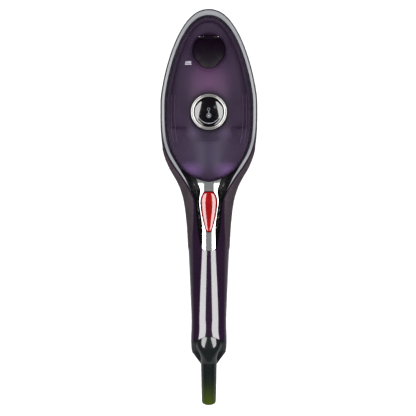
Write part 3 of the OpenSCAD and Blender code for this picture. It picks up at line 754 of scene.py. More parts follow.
def lower_housing():
    """The lower shell, with two screw wells under the handle."""
    obj = half_loft("lower_shell", body_rings(lower_profile))
    for y in (-140, -196):
        deep = along(BOTTOM, y) + 3.9
        profile = [(0.01, 10), (3.3, 10), (3.3, deep), (0.01, deep)]
        cut(obj, lathe("cutter", profile, 48, place=Matrix.Translation((0, y * MM, 0))))
    finish_piece(obj, "housing", "lower_plastic", ["lower_housing"], sharp=50)


def skin_point(y, q, lift=0.0):
    """Point on the upper skin at y and section position q, lifted off it."""
    def at(v, p):
        x, share = on_section(p, body(SQUARE, v))
        x *= half_w(v)
        return Vector((x, v, body(PART, v) + GAP + (body(TOP, v) - body(PART, v) - domed(x, v)) * share))
    p = at(y, q)
    along_y, around = at(y + 0.3, q) - at(y - 0.3, q), at(y, q + 0.01) - at(y, max(q - 0.01, 1e-4))
    normal = around.cross(along_y).normalized()
    if normal.x < 0:
        normal = -normal
    return p + lift * normal


GRIP_FRONT, GRIP_REAR = -32.0, -126.0
GRIP_MIDDLE = -79.0    # the pad's rows get finer from here to both ends
GRIP_COLS = 26
DOT_PITCH = 1.35
DOT_SIDES = 8
DOT_RINGS = ((0.42, -0.15), (0.36, 0.1), (0.2, 0.2))   # radius, and height over the pad
SPAN_STEPS = 40


def grip_span(y):
    """Section positions of the pad's two edges at y; the pad closes in a round end at front and rear."""
    low = 1.0 / (body(TOP, y) - body(PART, y))
    high = position(along(GRIP_IN, y), half_w(y), body(SQUARE, y))
    ends = clamp((y - GRIP_REAR) / 4) ** 0.5 * clamp((GRIP_FRONT - y) / 3) ** 0.5
    mid = 0.5 * (low + high)
    return mid + (low - mid) * ends, mid + (high - mid) * ends


def grip_pad(name):
    """The pad itself, from its front end to its rear end."""
    rows = []
    for y in arc(GRIP_MIDDLE, GRIP_FRONT - 0.02, 46)[::-1] + arc(GRIP_MIDDLE, GRIP_REAR + 0.02, 46)[1:]:
        a0, a1 = grip_span(y)
        upper = []
        for i in range(GRIP_COLS + 1):
            f = i / GRIP_COLS
            edge = min(f, 1 - f) * GRIP_COLS
            lift = 0.22 if edge >= 2 else (0.17 if edge >= 1 else 0.0)
            upper.append(skin_point(y, a0 + (a1 - a0) * f, lift))
        under = [skin_point(y, a0 + (a1 - a0) * i / GRIP_COLS, -0.5) for i in range(GRIP_COLS, -1, -1)]
        rows.append([tuple(p) for p in upper + under])
    return loft(name, rows)


def add_dot(verts, faces, p, normal):
    """A small closed button of points at p."""
    u = normal.cross(Vector((0, 1, 0))).normalized()
    v = normal.cross(u)
    base, n = len(verts), DOT_SIDES
    for r, h in DOT_RINGS:
        for i in range(n):
            t = math.pi / 4 * i
            verts.append(tuple(p + normal * h + r * (math.cos(t) * u + math.sin(t) * v)))
    verts.append(tuple(p + normal * 0.22))
    for j in range(2):
        for i in range(n):
            k = (i + 1) % n
            faces.append(tuple(base + n * j + m for m in (i, k, n + k, n + i)))
    faces += [(base + 2 * n + i, base + 2 * n + (i + 1) % n, base + 3 * n) for i in range(n)]
    faces.append(tuple(base + n - 1 - i for i in range(n)))


def grip_dots():
    """Rows of dots on the pad, each row half a pitch on from the last."""
    verts, faces = [], []
    row = 0
    y = GRIP_FRONT - 2.5
    while y > GRIP_REAR + 2:
        a0, a1 = grip_span(y)
        points = [skin_point(y, a0 + (a1 - a0) * i / SPAN_STEPS, 0.2) for i in range(SPAN_STEPS + 1)]
        lengths = [0.0]
        for p, q in zip(points, points[1:]):
            lengths.append(lengths[-1] + (q - p).length)
        s = 1.0 + (0.5 * DOT_PITCH if row % 2 else 0.0)
        while s < lengths[-1] - 0.9:
            k = max(i for i, v in enumerate(lengths) if v <= s)
            f = (s - lengths[k]) / max(1e-9, lengths[k + 1] - lengths[k])
            p = points[k].lerp(points[k + 1], f)
            over = skin_point(y, a0 + (a1 - a0) * (k + f) / SPAN_STEPS, 1.2)
            add_dot(verts, faces, p, (over - p).normalized())
            s += DOT_PITCH
        y -= DOT_PITCH * 0.87
        row += 1
    return new_object("dots", verts, faces)


def grip(side):
    """Soft pad along one shoulder of the handle, with rows of small raised dots."""
    name = "grip_right" if side > 0 else "grip_left"
    obj = joined(name, [grip_pad(name), grip_dots()])
    if side < 0:
        obj.data.transform(Matrix.Scale(-1, 4, (1, 0, 0)))
        obj.data.flip_normals()
    finish_piece(obj, "housing", "handle_plastic", sharp=60, material=GRIP)


def trim_band():
    """Band round the tank that rises towards its inner edge, with soft edges."""
    rings = []

    def ring(outer, inner, z):
        low = max(DECK_Z + 0.1, z - 2.6)
        shape = [(0, low), (0, z - 0.3), (0.015, z - 0.08), (0.06, z + 0.08), (0.13, z + 0.16),
                 (0.4, z + 0.26), (0.7, z + 0.38), (0.9, z + 0.46), (0.96, z + 0.46), (0.99, z + 0.36),
                 (1, z + 0.2), (1, low)]
        (x0, y0), (x1, y1) = outer, inner
        return [(x0 + (x1 - x0) * s, y0 + (y1 - y0) * s, h) for s, h in shape]
    for t in nose_turns(48)[:-1]:
        rings.append(ring(on_nose(t, SLOT_W + GAP), on_nose(t, TRIM_W, TRIM_NOSE), edge_z(0)))
    for y in steps(WIDEST_Y, -71.5, 70):
        o, i = opening(y) - GAP, along(TRIM_IN, y)
        rings.append(ring((max(o, i + 0.2), y), (i, y), edge_z(y)))
    obj = half_loft("silver_band", rings)
    finish_piece(obj, "housing", "silver_trim", ["trim_band"], sharp=50)


# ---------------------------------------------------------------- tank
TURN_X = along(TRIM_IN, TANK_TURN) - GAP
TAIL_POWER = 1.75      # the tail's curve runs between a straight line and a parabola
DOME_POWER = 0.91      # how full the dome is towards its foot
DOME_Y = 2.0           # the dome's crown
RIDGE_H = 1.5
FILLER_SIDES = 144


def tank_side(d, front=56, side=44, tail=34):
    """Right side of the tank's outline inset by d, from the nose to the middle of the tail."""
    pts = []
    w, l = HALF - TRIM_W - GAP - d, NOSE_L - TRIM_NOSE - GAP - d
    for t in nose_turns(front)[:-1]:
        pts.append((w * nose(t), WIDEST_Y + l * t))
    for y in steps(WIDEST_Y, TANK_TURN + 0.74 * d + 3, side)[:-1]:
        pts.append((along(TRIM_IN, y) - GAP - d * lean(TRIM_IN, y), y))
    rise = TANK_TURN - TANK_TAIL
    last = pts[-1]
    for i, x in enumerate(steps(TURN_X - 0.64 * d, 0, tail)):
        u = x / TURN_X
        grow = math.hypot(1, TAIL_POWER * rise / TURN_X * u ** (TAIL_POWER - 1))
        p = (x, TANK_TAIL + rise * u ** TAIL_POWER + d * grow)
        # the corner between side and tail is rounded
        if i == 0:
            pts.append(((p[0] + last[0]) / 2 + 0.1, (p[1] + last[1]) / 2))
        pts.append(p)
    return pts


def tank_outline(d):
    side = tank_side(d)
    return side + [(-x, y) for x, y in reversed(side[1:-1])]


def tank_edge_z(x, y):
    """Height of the tank's edge over the outline point x, y."""
    if y > TANK_TURN:
        return edge_z(y) + 1
    u = min(1.0, abs(x) / TURN_X) ** 1.3
    return (1 - u) * (along(TOP, TANK_TAIL) - 0.4) + u * (edge_z(TANK_TURN) + 1)


def ridge(x, y):
    """The tank's top rises a little along the middle between dial and tail."""
    across = clamp((abs(x) - 5) / 19)
    down = clamp((-19 - y) / 12) * clamp((y + 63) / 16)
    return RIDGE_H * (1 - smooth(across)) * smooth(down)


def dome_point(p, a, d):
    """Point of the dome over the outline point p; a is 0 at the foot and a right angle at the crown."""
    s = math.cos(a) ** DOME_POWER
    z = tank_edge_z(*p) - 0.3 * d
    x, y = s * p[0], DOME_Y + s * (p[1] - DOME_Y)
    return x, y, z + (CROWN_Z - d - z) * math.sin(a) + ridge(x, y)


def angle_to(p, d, radius):
    """How far up the dome over p the circle of that radius round the dial lies."""
    low, high = 0.0, math.pi / 2
    for _ in range(40):
        mid = (low + high) / 2
        q = dome_point(p, mid, d)
        low, high = (mid, high) if math.hypot(q[0], q[1]) > radius else (low, mid)
    return low


def dome_z(x, y):
    """Height of the dome at x, y, from the point of the outline that lies the same way from the crown."""
    middle = Vector((0, DOME_Y))
    c = Vector((x, y)) - middle
    t = math.atan2(c.y, c.x)
    outline = tank_outline(0)
    for i, p in enumerate(outline):
        p, q = Vector(p) - middle, Vector(outline[(i + 1) % len(outline)]) - middle
        tp = math.atan2(p.y, p.x)
        turn = (tp - math.atan2(q.y, q.x) + math.pi) % (2 * math.pi) - math.pi
        off = (tp - t + math.pi) % (2 * math.pi) - math.pi
        if turn > 0 and 0 <= off <= turn:
            foot = p.lerp(q, off / turn)
            a = math.acos(min(1.0, c.length / foot.length) ** (1 / DOME_POWER))
            return dome_point((foot.x, foot.y + DOME_Y), a, 0.0)[2]
    return CROWN_Z


def filler_matrix():
    """Place of the filler's own frame, in metres."""
    return (Matrix.Translation((0, FILLER_Y * MM, FILLER_Z * MM))
            @ Matrix.Rotation(math.radians(FILLER_TILT), 4, "X"))


def flap_radius(t, grow=0.0):
    """Outline of the filler flap at angle t: a disc with a finger tab towards the dial."""
    r = FLAP_R + grow
    tab = TAB_Y * math.sin(t) + math.sqrt((TAB_R + grow) ** 2 - (TAB_Y * math.cos(t)) ** 2)
    return max(r, tab)


def tank_cover():
    """The tank's shell: foot, dome, the well for the dial, and the same again on the inside."""
    outer, inner = tank_outline(0), tank_outline(WALL)
    rings = [[(x, y, RIM_Z) for x, y in outer], [(x, y, tank_edge_z(x, y) - 0.4) for x, y in outer]]
    climb = [0.0, 0.03, 0.06, 0.1, 0.14] + steps(0.19, 1, 24)
    tops = [angle_to(p, 0.0, WELL_R + 0.5) for p in outer]
    for f in climb:
        rings.append([dome_point(p, a * f, 0.0) for p, a in zip(outer, tops)])
    edge = [(math.atan2(y, x), z) for x, y, z in rings[-1]]
    for r, drop in ((WELL_R + 0.15, 0.12), (WELL_R, 0.5)):
        rings.append([turned(t, r, z - drop) for t, z in edge])
    well = [(WELL_R, WELL_Z + 0.6), (WELL_R - 0.6, WELL_Z), (5.0, WELL_Z), (4.6, WELL_Z - 0.4),
            (4.6, WELL_Z - 2), (WELL_R + 1.8, WELL_Z - 2)]
    for r, z in well:
        rings.append([turned(t, r, z) for t, _ in edge])
    lows = [angle_to(p, WALL, WELL_R + 1.8) for p in inner]
    for f in reversed(climb[::2]):
        rings.append([dome_point(p, a * f, WALL) for p, a in zip(inner, lows)])
    rings.append([(x, y, RIM_Z) for x, y in inner])
    obj = loft("tank_shell", rings, looped=True)
    hole = [turned(t, flap_radius(t, 0.4), 0)[:2] for t in turns(FILLER_SIDES)]
    cut(obj, prism("cutter", hole, -3.6, 9, place=filler_matrix()))
    finish_piece(obj, "housing", "tank_plastic", ["tank_cover"], sharp=40)


def filler_neck():
    """A collar under the dome round the filler's bore."""
    place = filler_matrix()
    back = place.inverted()
    foot = -6.9
    rings = []
    for t in turns(FILLER_SIDES):
        r0, r1 = flap_radius(t, 0.42), flap_radius(t, 1.9)
        ring = [(NECK_R, foot), (NECK_R, -3.9), (NECK_R + 0.3, -3.6), (r0, -3.6)]
        for r in (r0, r1):
            at = place @ Vector((r * math.cos(t) * MM, r * math.sin(t) * MM, 0))
            z = dome_z(at.x / MM, at.y / MM) - 1.3
            w = (back @ Vector((at.x, at.y, z * MM))).z / MM
            ring.append((r, max(-3.4, min(w, 4.0))))
        ring.append((r1, foot))
        rings.append([turned(t, r, w) for r, w in ring])
    obj = loft("filler_neck", rings, looped=True, place=place)
    finish_piece(obj, "housing", "tank_plastic", sharp=40)


FLAP_CUT = HINGE[0] - 2.4   # the flap ends here, before its hinge
FLAP_SIDES = 120
FLAP_CROWN = 2.1
FLAP_THICK = 2.9
KNUCKLE_W = 4.9             # half width of the knuckle, and its radius
KNUCKLE_R = 1.65


def flap_disc():
    """Domed disc with a finger tab, cut off before the hinge."""
    def ring(share, w):
        end = FLAP_CUT * (0.2 * share + 0.8)
        points = [turned(t, flap_radius(t) * share, w) for t in turns(FLAP_SIDES)]
        return [(x, min(v, end), w) for x, v, w in points]
    side = [(0.3, -FLAP_THICK), (0.96, -FLAP_THICK), (0.985, -FLAP_THICK + 0.1), (1, -FLAP_THICK + 0.35),
            (1, -0.45), (0.992, -0.15), (0.97, 0.08)]
    top = [(f, FLAP_CROWN * (1 - (f / 0.97) ** 2) ** 0.75) for f in (0.9, 0.8, 0.68, 0.55, 0.4, 0.25, 0.1)]
    return loft("disc", [ring(share, w) for share, w in side + top])


def flap_knuckle():
    """Barrel round the hinge pin that runs into the disc."""
    v0, w0 = HINGE
    side = [(FLAP_CUT - 2.5, -2.6), (v0, w0 - KNUCKLE_R)]
    side += [(v0 + KNUCKLE_R * math.sin(a), w0 - KNUCKLE_R * math.cos(a)) for a in steps(0.15, math.pi, 14)]
    side += [(FLAP_CUT + 0.3, 0.7), (FLAP_CUT - 2.5, 1.0)]
    ends = ((-KNUCKLE_W, 0.93), (-KNUCKLE_W + 0.3, 1), (KNUCKLE_W - 0.3, 1), (KNUCKLE_W, 0.93))
    return loft("knuckle", [[(x, v0 + (v - v0) * share, w0 + (w - w0) * share) for v, w in side]
                            for x, share in ends])


def filler_flap():
    """The flap with its knuckle, closed."""
    obj = joined("filler_flap", [flap_disc(), flap_knuckle()])
    obj.data.transform(filler_matrix())
    finish_piece(obj, "lid", "flap_plastic", ["filler_lid"], sharp=40)


def hinge_ears():
    """The two fixed ears that hold the pin and carry the flap's round outline on."""
    v0, w0 = HINGE
    ears = []
    for side in (-1, 1):
        rings = []
        for x in [5.15, 5.3] + steps(5.6, 10.4, 12):
            first, last = v0 - 2.15, math.sqrt((FLAP_R - 0.05) ** 2 - x * x)
            low = 0.12 if x < 5.2 else 0.0
            top = [(v, w0 - low + math.sqrt(max(0.0, 4.62 - (v - v0) ** 2)) * 0.62)
                   for v in steps(first, last, 10)]
            rings.append([(side * x, v, w) for v, w in [(first, -3.7)] + top + [(last, -3.7)]])
        ears.append(loft("ear", rings))
    obj = joined("flap_hinge_ears", ears)
    obj.data.transform(filler_matrix())
    finish_piece(obj, "housing", "flap_plastic", sharp=40)


def conforming(name, strips, height, lift=0.05, sink=0.08):
    """Thin printed shapes on a curved surface. Each strip is a list of pairs of (x, y) edge points."""
    parts = []
    for pairs in strips:
        rings = []
        for a, b in pairs:
            za, zb = height(*a), height(*b)
            rings.append([(*a, za - sink), (*a, za + lift), (*b, zb + lift), (*b, zb - sink)])
        parts.append(loft("strip", rings))
    return joined(name, parts)


def arc_strip(c, r, w, a0, a1, n, taper=None):
    """Part of a ring of width w, from angle a0 to a1 in degrees."""
    out = []
    for i in range(n + 1):
        t = math.radians(a0 + (a1 - a0) * i / n)
        h = (w if taper is None else w * taper(i / n)) / 2
        out.append(((c[0] + (r - h) * math.cos(t), c[1] + (r - h) * math.sin(t)),
                    (c[0] + (r + h) * math.cos(t), c[1] + (r + h) * math.sin(t))))
    return out


def bar_strip(p, q, w, n=8):
    """A straight bar of width w from p to q."""
    p, q = Vector(p), Vector(q)
    side = (q - p).normalized().orthogonal() * w / 2
    return [(tuple(p.lerp(q, i / n) - side), tuple(p.lerp(q, i / n) + side)) for i in range(n + 1)]


def disc_strip(c, r, n=16):
    """A disc of radius r round c."""
    out = []
    for i in range(n + 1):
        t = math.pi * i / n
        x, h = c[0] - r * math.cos(t), max(0.02, r * math.sin(t))
        out.append(((x, c[1] - h), (x, c[1] + h)))
    return out


def tank_width(y):
    """Half the tank's width where it crosses y."""
    best = min(tank_outline(0.0), key=lambda p: abs(p[1] - y) + (100 if p[0] < 0 else 0))
    return best[0]


def level_mark():
    """Fill-level mark printed on the tank: a row of slanting ticks over a line."""
    x0, y0 = -22.0, 43.8
    strips = [bar_strip((x0, y0), (x0 + 6.2, y0), 0.45)]
    for x in [x0 + 0.6 + 1.1 * k for k in range(5)]:
        strips.append(bar_strip((x, y0 + 0.7), (x + 0.6, y0 + 2.9), 0.5))
    obj = conforming("level_mark", strips, dome_z)
    finish_piece(obj, "housing", "tank_plastic", material=MARK)


def tank_ribs():
    """Pairs of thin raised lines down each side of the tank, in a paler violet that paints a highlight along
    them.
    """
    strips = []
    for side in (-1, 1):
        for shift in (0.0, 3.3):
            path = [(side * (tank_width(y) - 9.6 + shift), y) for y in steps(16, -28, 24)]
            strips.append([((x - 0.22, y), (x + 0.22, y)) for x, y in path])
    obj = conforming("tank_ribs", strips, dome_z, lift=0.12)
    finish_piece(obj, "housing", "tank_plastic", material=RIB_PAINTED_HIGHLIGHT)


# ---------------------------------------------------------------- dial
FACE_DOME = 150.0      # radius of the dial face's dome
FACE_TOP = corners("knob_face")[1].z - 0.35


def dial_ring():
    """The dial's chromed ring: an outer and an inner rim with a groove between them."""
    low, high = corners("knob_ring")
    r, top, foot = high.x, high.z, low.z
    profile = [(r - 0.5, foot), (r - 0.1, foot + 0.15), (r, foot + 0.6), (r, top - 1.6)]
    profile += [(r - 0.5 + 0.5 * math.cos(a), top - 1.35 + 0.75 * math.sin(a)) for a in steps(0.1, 2.9, 10)]
    profile += [(r - 1.02, top - 2.2), (r - 1.34, top - 2.2)]
    profile += [(r - 2.0 + 0.66 * math.cos(a), top - 0.66 + 0.66 * math.sin(a)) for a in steps(0.1, 3.1, 14)]
    profile += [(r - 2.68, top - 2.6), (r - 1.6, top - 2.9), (r - 1.5, foot)]
    obj = lathe("dial_ring", profile, 160)
    finish_piece(obj, "knob", "bright_chrome", ["knob_ring"], sharp=50)


def face_z(x, y):
    """Height of the dial's face."""
    return FACE_TOP - (FACE_DOME - math.sqrt(FACE_DOME ** 2 - x * x - y * y))


def dial_face():
    """Black face, slightly domed, with its hub below."""
    low, high = corners("knob_ring")
    top, foot, face_r = high.z, low.z, high.x - 3.2
    profile = [(0.02, face_z(0, 0))] + [(v, face_z(v, 0)) for v in steps(1, face_r - 0.3, 12)]
    rim = face_z(face_r, 0)
    profile += [(face_r - 0.08, rim - 0.08), (face_r, rim - 0.3), (face_r, top - 4.4),
                (face_r - 0.5, top - 5), (5, top - 5), (5, foot), (3.1, foot), (3.1, top - 2.5),
                (0.02, top - 2.5)]
    obj = lathe("dial_face", profile, 128)
    finish_piece(obj, "knob", "black_gloss", ["knob_face"], sharp=40)


def dial_print():
    """A plain scale that thickens near its end, and a plain thermometer."""
    def thicker(f):
        return 1 + 1.6 * max(0.0, 1 - abs(f - 0.93) / 0.07)
    strips = [arc_strip((0, 0), 10.6, 0.34, 200, 345, 60, thicker),
              disc_strip((0, -10.6), 0.5),
              disc_strip((0, -3.5), 0.75)]
    obj = conforming("dial_print", strips, face_z, lift=0.04)
    finish_piece(obj, "knob", "black_gloss", material=PRINT)
    strips = [arc_strip((-0.2, 2.3), 1.15, 0.5, 0, 360, 32),
              bar_strip((-0.2, 1.1), (-0.05, -1.3), 0.9),
              arc_strip((0, -3.5), 1.8, 0.75, 0, 360, 32),
              arc_strip((5.7, 4.2), 0.9, 0.3, 0, 360, 28)]
    obj = conforming("dial_symbol", strips, face_z, lift=0.04)
    finish_piece(obj, "knob", "black_gloss", material=PRINT_DIM)


# ---------------------------------------------------------------- neck
def tail_y(x):
    """Rear edge of the tank at x."""
    return TANK_TAIL + (TANK_TURN - TANK_TAIL) * min(1.0, abs(x) / TURN_X) ** TAIL_POWER


def neck_sheet(name, half_at, height, end, wall):
    """A closed sheet from the tank's tail to end, as wide as half_at(y) says, rounded off at its rear end."""
    across, gap, round_from = 28, 0.3, OPENING_END[0]
    rows = []
    for v in steps(0, 1, 80) + arc(1, 2, 14)[1:]:
        top, low = [], []
        for i in range(-across, across + 1):
            f = math.sin(math.pi / 2 * i / across)
            x = y = 0.0
            for _ in range(6):
                start = tail_y(x) - gap
                y = start + (round_from - start) * v if v < 1 else round_from + (end - round_from) * (v - 1)
                x = f * half_at(y)
            z = height(x, y)
            top.append((x, y, z))
            low.append((x, y, z - wall))
        rows.append(top + low[::-1])
    return loft(name, rows)


def insert_half(y):
    """Half width of the black insert at y."""
    w = opening(y) - 0.35 if y < -71 else min(along(TRIM_IN, y) - 0.35, 60)
    return max(w, inlay(y) + 0.02)


def insert_z(x, y):
    """The insert dips into a crease beside the inlay and rises to the housing's edge."""
    i, b = inlay(y), insert_half(y)
    zi = along(TOP, y) - 1.0
    zb = min(edge_z(y) - 0.35, zi)
    if abs(x) <= i or b - i < 0.05:
        return zi
    c = i + 0.45 * (b - i)
    zc = min(zi, zb) - min(3.2, 0.75 * (b - i))
    f = abs(x)
    if f < c:
        u = (f - i) / max(c - i, 1e-6)
        return zi + (zc - zi) * u ** 1.15
    u = (f - c) / max(b - c, 1e-6)
    return zc + (zb - zc) * u ** 0.9


def neck_insert():
    """The black insert, with a hole for the button."""
    obj = neck_sheet("neck_insert_skin", insert_half, insert_z, -127.0, 1.8)
    cut(obj, button_prism(0.6, 30, 70))
    finish_piece(obj, "housing", "black_satin", ["neck_insert"], sharp=60)


BUTTON_Y = -90         # the button's rings shrink towards here


def button_outline(grow, n=14):
    """The button's outline, grown outwards."""
    ys = steps(-73, -77, n) + steps(-77.5, -103.5, 40) + steps(-104, -109.9, n)
    right = []
    for y in ys:
        v = y + (grow if y > -75 else -grow if y < -108 else 0)
        right.append((along(BUTTON, y) + grow, v))
    return right + [(-x, y) for x, y in reversed(right)]


def button_prism(grow, low, high):
    return prism("cutter", button_outline(grow), low, high)


def inlay_z(x, y):
    """A flat strip down the middle with a facet on each side."""
    u = abs(x) - along(STRIPE, y)
    return along(TOP, y) + 0.55 - 0.06 * (u + math.hypot(u, 0.12))


def bezel():
    """The silver inlay, with a hole for the button."""
    obj = neck_sheet("silver_inlay", inlay, inlay_z, -127.15, 1.3)
    cut(obj, button_prism(0.5, 30, 70))
    finish_piece(obj, "housing", "silver_trim", ["trigger_bezel"], sharp=40, material=INLAY_METAL)


def button_top(y):
    """Height of the button along its middle: a low arch that rises towards its front end."""
    front = clamp((y + 97) / 22)
    return along(TOP, y) + 1.35 + 0.3 * math.sin(math.pi * clamp((-73 - y) / 37)) + 0.7 * front * front


def button():
    """The top is flat along the middle and falls off ever more steeply towards the rim."""
    rings = []
    outline = button_outline(0)
    for share, drop in ((1.0, 8.0), (1.0, 1.9), (0.995, 1.35), (0.98, 1.05), (0.955, 0.86), (0.92, 0.72)):
        long = 0.35 + 0.65 * share
        rings.append([(x * share, BUTTON_Y + (y - BUTTON_Y) * long, button_top(y) - drop)
                      for x, y in outline])
    for share in (0.88, 0.83, 0.77, 0.7, 0.62, 0.54, 0.45, 0.36, 0.26, 0.15, 0.04):
        ring = []
        for x, y in outline:
            v = BUTTON_Y + (y - BUTTON_Y) * 0.948 * (1 if share > 0.8 else 0.1 + 0.9 * share / 0.8)
            w = along(BUTTON, min(max(y, -109.9), -73))
            ring.append((x * share, v, button_top(v) - 0.62 * (w / 7.5) * (share / 0.9) ** 3.4 - 0.04))
        rings.append(ring)
    obj = loft("red_button", rings)
    finish_piece(obj, "button", "red_gloss", ["steam_button"], sharp=50)


# ---------------------------------------------------------------- handle end
def cap_z(x, y, wall):
    """Height of the end cap's top: a spine that runs into the cord guard, and a wing on each side of it."""
    def bulge(half, power):
        return max(0.0, 1 - (abs(x) / half) ** power) ** (1 / power)
    part = body(PART, y)
    fall = bulge(body(SIDE, y) - wall, body(SQUARE, y))
    wing = part + (along(CAP_WING, y) - wall - domed(x, y) - part) * fall
    share = bulge(along(CAP_SPINE, y) - wall, along(CAP_ROUND, y))
    roof = 0.07 * clamp((y + 216) / 8) * (math.hypot(x, 0.8) - 0.8) + 0.0135 * x * x
    spine = part + (along(CAP_TOP, y) - wall - roof - part) * share if share else part - 5
    soft = 0.9 * min(1.0, max(0.02, (SEAM_Y - 2 - y) / 8))
    return max(wing, spine) + max(0.0, soft - abs(wing - spine)) ** 2 / (4 * soft)


SIDE_STEPS, CROWN_STEPS, UNDER_STEPS = 10, 72, 20


def cap_section(y):
    """Points round the end cap's section: share of the half width, and 1 above the parting line or, below it,
    minus the share of the depth."""
    square = body(SQUARE, y)
    right = [(on_section(q, square)[0], 1) for q in steps(0, 1, SIDE_STEPS)[:-1]]
    crown = [(x, 1) for x in steps(corner_of(square), -corner_of(square), CROWN_STEPS)]
    under = [on_section(q, body(SQUARE_LOW, y)) for q in steps(0, 2, UNDER_STEPS)]
    under = [(-x, -s) for x, s in under[1:]] + [(x, -s) for x, s in under[-2:0:-1]]
    return right + crown + [(-x, s) for x, s in right[::-1]] + under


def cap_ring(v, wall):
    """Ring of the end cap, from the seam, 0, to the cord guard, 1."""
    out = []
    nominal = SEAM_Y - 3 + (TAIL_Y - SEAM_Y + 3) * v
    for share, kind in cap_section(nominal):
        y = nominal
        for _ in range(8):
            x = share * (body(SIDE, y) - wall)
            start = seam(x) - GAP
            y = start + (TAIL_Y - start) * v
        part = body(PART, y)
        z = cap_z(x, y, wall) if kind > 0 else part + kind * (part - body(BOTTOM, y) - wall)
        out.append((x, y, z))
    return out


def end_cap():
    outer = [cap_ring(v, 0.0) for v in [0.0] + steps(0.008, 1, 48)]
    outer[0] = [(x * 0.988, y, GUARD_Z + (z - GUARD_Z) * 0.988) for x, y, z in outer[0]]
    inner = [cap_ring(v, WALL) for v in steps(0.0, 0.8, 8)]
    hole = []
    for x, y, z in outer[-1]:
        d = Vector((x, z - GUARD_Z)).normalized() * 7.42
        hole.append((d.x, TAIL_Y, GUARD_Z + d.y))
    obj = loft("end_cap_shell", outer + [hole] + inner[::-1], looped=True)
    finish_piece(obj, "housing", "guard_rubber", ["end_cap"], sharp=50, material=CAP)


def cord_guard():
    """Tapered sleeve with a rounded end. Its root reaches into the end cap."""
    tilt = math.radians(15)
    length, r0, r1, bore, root = 39.0, 7.4, 6.7, 3.6, -4.0
    taper = length - 2.6
    profile = [(bore + 0.05, root), (r0 - 0.02, root), (r0 + 0.08, root + 0.2), (r0 + 0.076, root + 0.4)]
    profile += [(r0, 0)]
    profile += [(r0 + (r1 - r0) * h / taper, h) for h in steps(0, taper, 40)[1:]]
    profile += [(r1 - 2.4 + 2.4 * math.cos(a), taper + 2.6 * math.sin(a))
                for a in steps(0.1, math.pi / 2, 10)]
    profile += [(bore + 0.25, length), (bore, length - 0.3), (bore, root + 0.1)]
    place = Matrix.Translation((0, TAIL_Y * MM, GUARD_Z * MM)) @ Matrix.Rotation(math.pi / 2 + tilt, 4, "X")
    obj = lathe("cord_guard_sleeve", profile, 96, place=place)
    finish_piece(obj, "housing", "guard_rubber", ["cord_guard"], sharp=50)


# ---------------------------------------------------------------- hot end
HEEL_Y = 8.0           # centre and radius of the rounded heel, at the sole's inset
HEEL_R = 62.0
SOLE_INSET = 3.0


def heel_side(d):
    """Right side of the sole's outline, inset by d from the head, from the nose to the middle of the heel."""
    pts = [on_nose(t, d) for t in nose_turns(60)[:-1]]
    radius = HEEL_R + SOLE_INSET - d
    for y in steps(WIDEST_Y, -30, 20)[:-1]:
        x = half_w(y) - d * lean(SIDE, y)
        if math.hypot(x, min(0, y - HEEL_Y)) < radius:
            pts.append((x, y))
    start = math.atan2(pts[-1][1] - HEEL_Y, pts[-1][0])
    for a in steps(start, -math.pi / 2, 40)[1:]:
        x, y = radius * math.cos(a), HEEL_Y + radius * math.sin(a)
        pts.append((min(x, half_w(y) - d * lean(SIDE, y)), y))
    return pts


def heel_outline(d):
    side = heel_side(d)
    return side + [(-x, y) for x, y in reversed(side[1:-1])]


SIDE_HOLES = 7         # steam holes along each side of the sole
HOLE_R = 1.4


def soleplate():
    """The sole, with countersunk steam holes along both sides and one at the nose."""
    top = corners("soleplate")[1].z
    shape = [(5.2, 0.0), (4.5, 0.12), (3.9, 0.42), (3.35, 0.95), (3.05, 1.6), (3.0, 2.2), (3.0, top - 0.4),
             (3.12, top - 0.1), (3.4, top)]
    obj = loft("sole", [[(x, y, z) for x, y in heel_outline(d)] for d, z in shape])
    ys = [-16 + i * 84 / (SIDE_HOLES - 1) for i in range(SIDE_HOLES)]
    bore = [(0.01, -1), (HOLE_R + 1.0, -1), (HOLE_R + 0.5, 0.05), (HOLE_R, 0.6), (HOLE_R, top + 1),
            (0.01, top + 1)]
    for x, y in [(side * (half_w(y) - 14), y) for y in ys for side in (-1, 1)] + [(0, 87)]:
        cut(obj, lathe("cutter", bore, 24, place=Matrix.Translation((x * MM, y * MM, 0))))
    finish_piece(obj, "housing", "sole_metal", ["soleplate"], sharp=40)


def heat_shield():
    """The skirt over the sole, with three ribs round it."""
    low, high = corners("heat_shield")
    z0, z1 = low.z, high.z
    shape = [(4.2, z0), (2.3, z0), (2.05, z0 + 0.2), (2, z0 + 0.5)]
    for k in range(3):
        z = z0 + 2.0 + 1.9 * k
        shape += [(2, z - 0.35), (2.35, z - 0.2), (2.35, z + 0.2), (2, z + 0.35)]
    shape += [(2, z1 - 0.5), (2.1, z1 - 0.15), (2.4, z1), (14, z1), (14, z1 - 2.2), (4.2, z1 - 2.4)]
    rings = [[(x, y, z) for x, y in heel_outline(d)] for d, z in shape]
    obj = loft("heat_shield_skirt", rings, looped=True)
    finish_piece(obj, "housing", "shield_plastic", ["heat_shield"], sharp=40)


# ---------------------------------------------------------------- camera, floor and lights
FRAME_WIDTH = 0.3852   # what the camera sees at the height EYE, in metres
EYE = 0.034
SCENE = bpy.context.scene


def make_camera():
    """The photograph's view: from straight above, with a long lens."""
    data = bpy.data.cameras.new("camera")
    data.lens = 200
    data.sensor_width = 36
    data.clip_end = 20
    camera = bpy.data.objects.new("camera", data)
    low, high = cad_box
    far = FRAME_WIDTH * data.lens / data.sensor_width
    camera.location = (-0.0008, (low.y + high.y) / 2 - 0.0007, EYE + far)
    SCENE.collection.objects.link(camera)
    SCENE.camera = camera


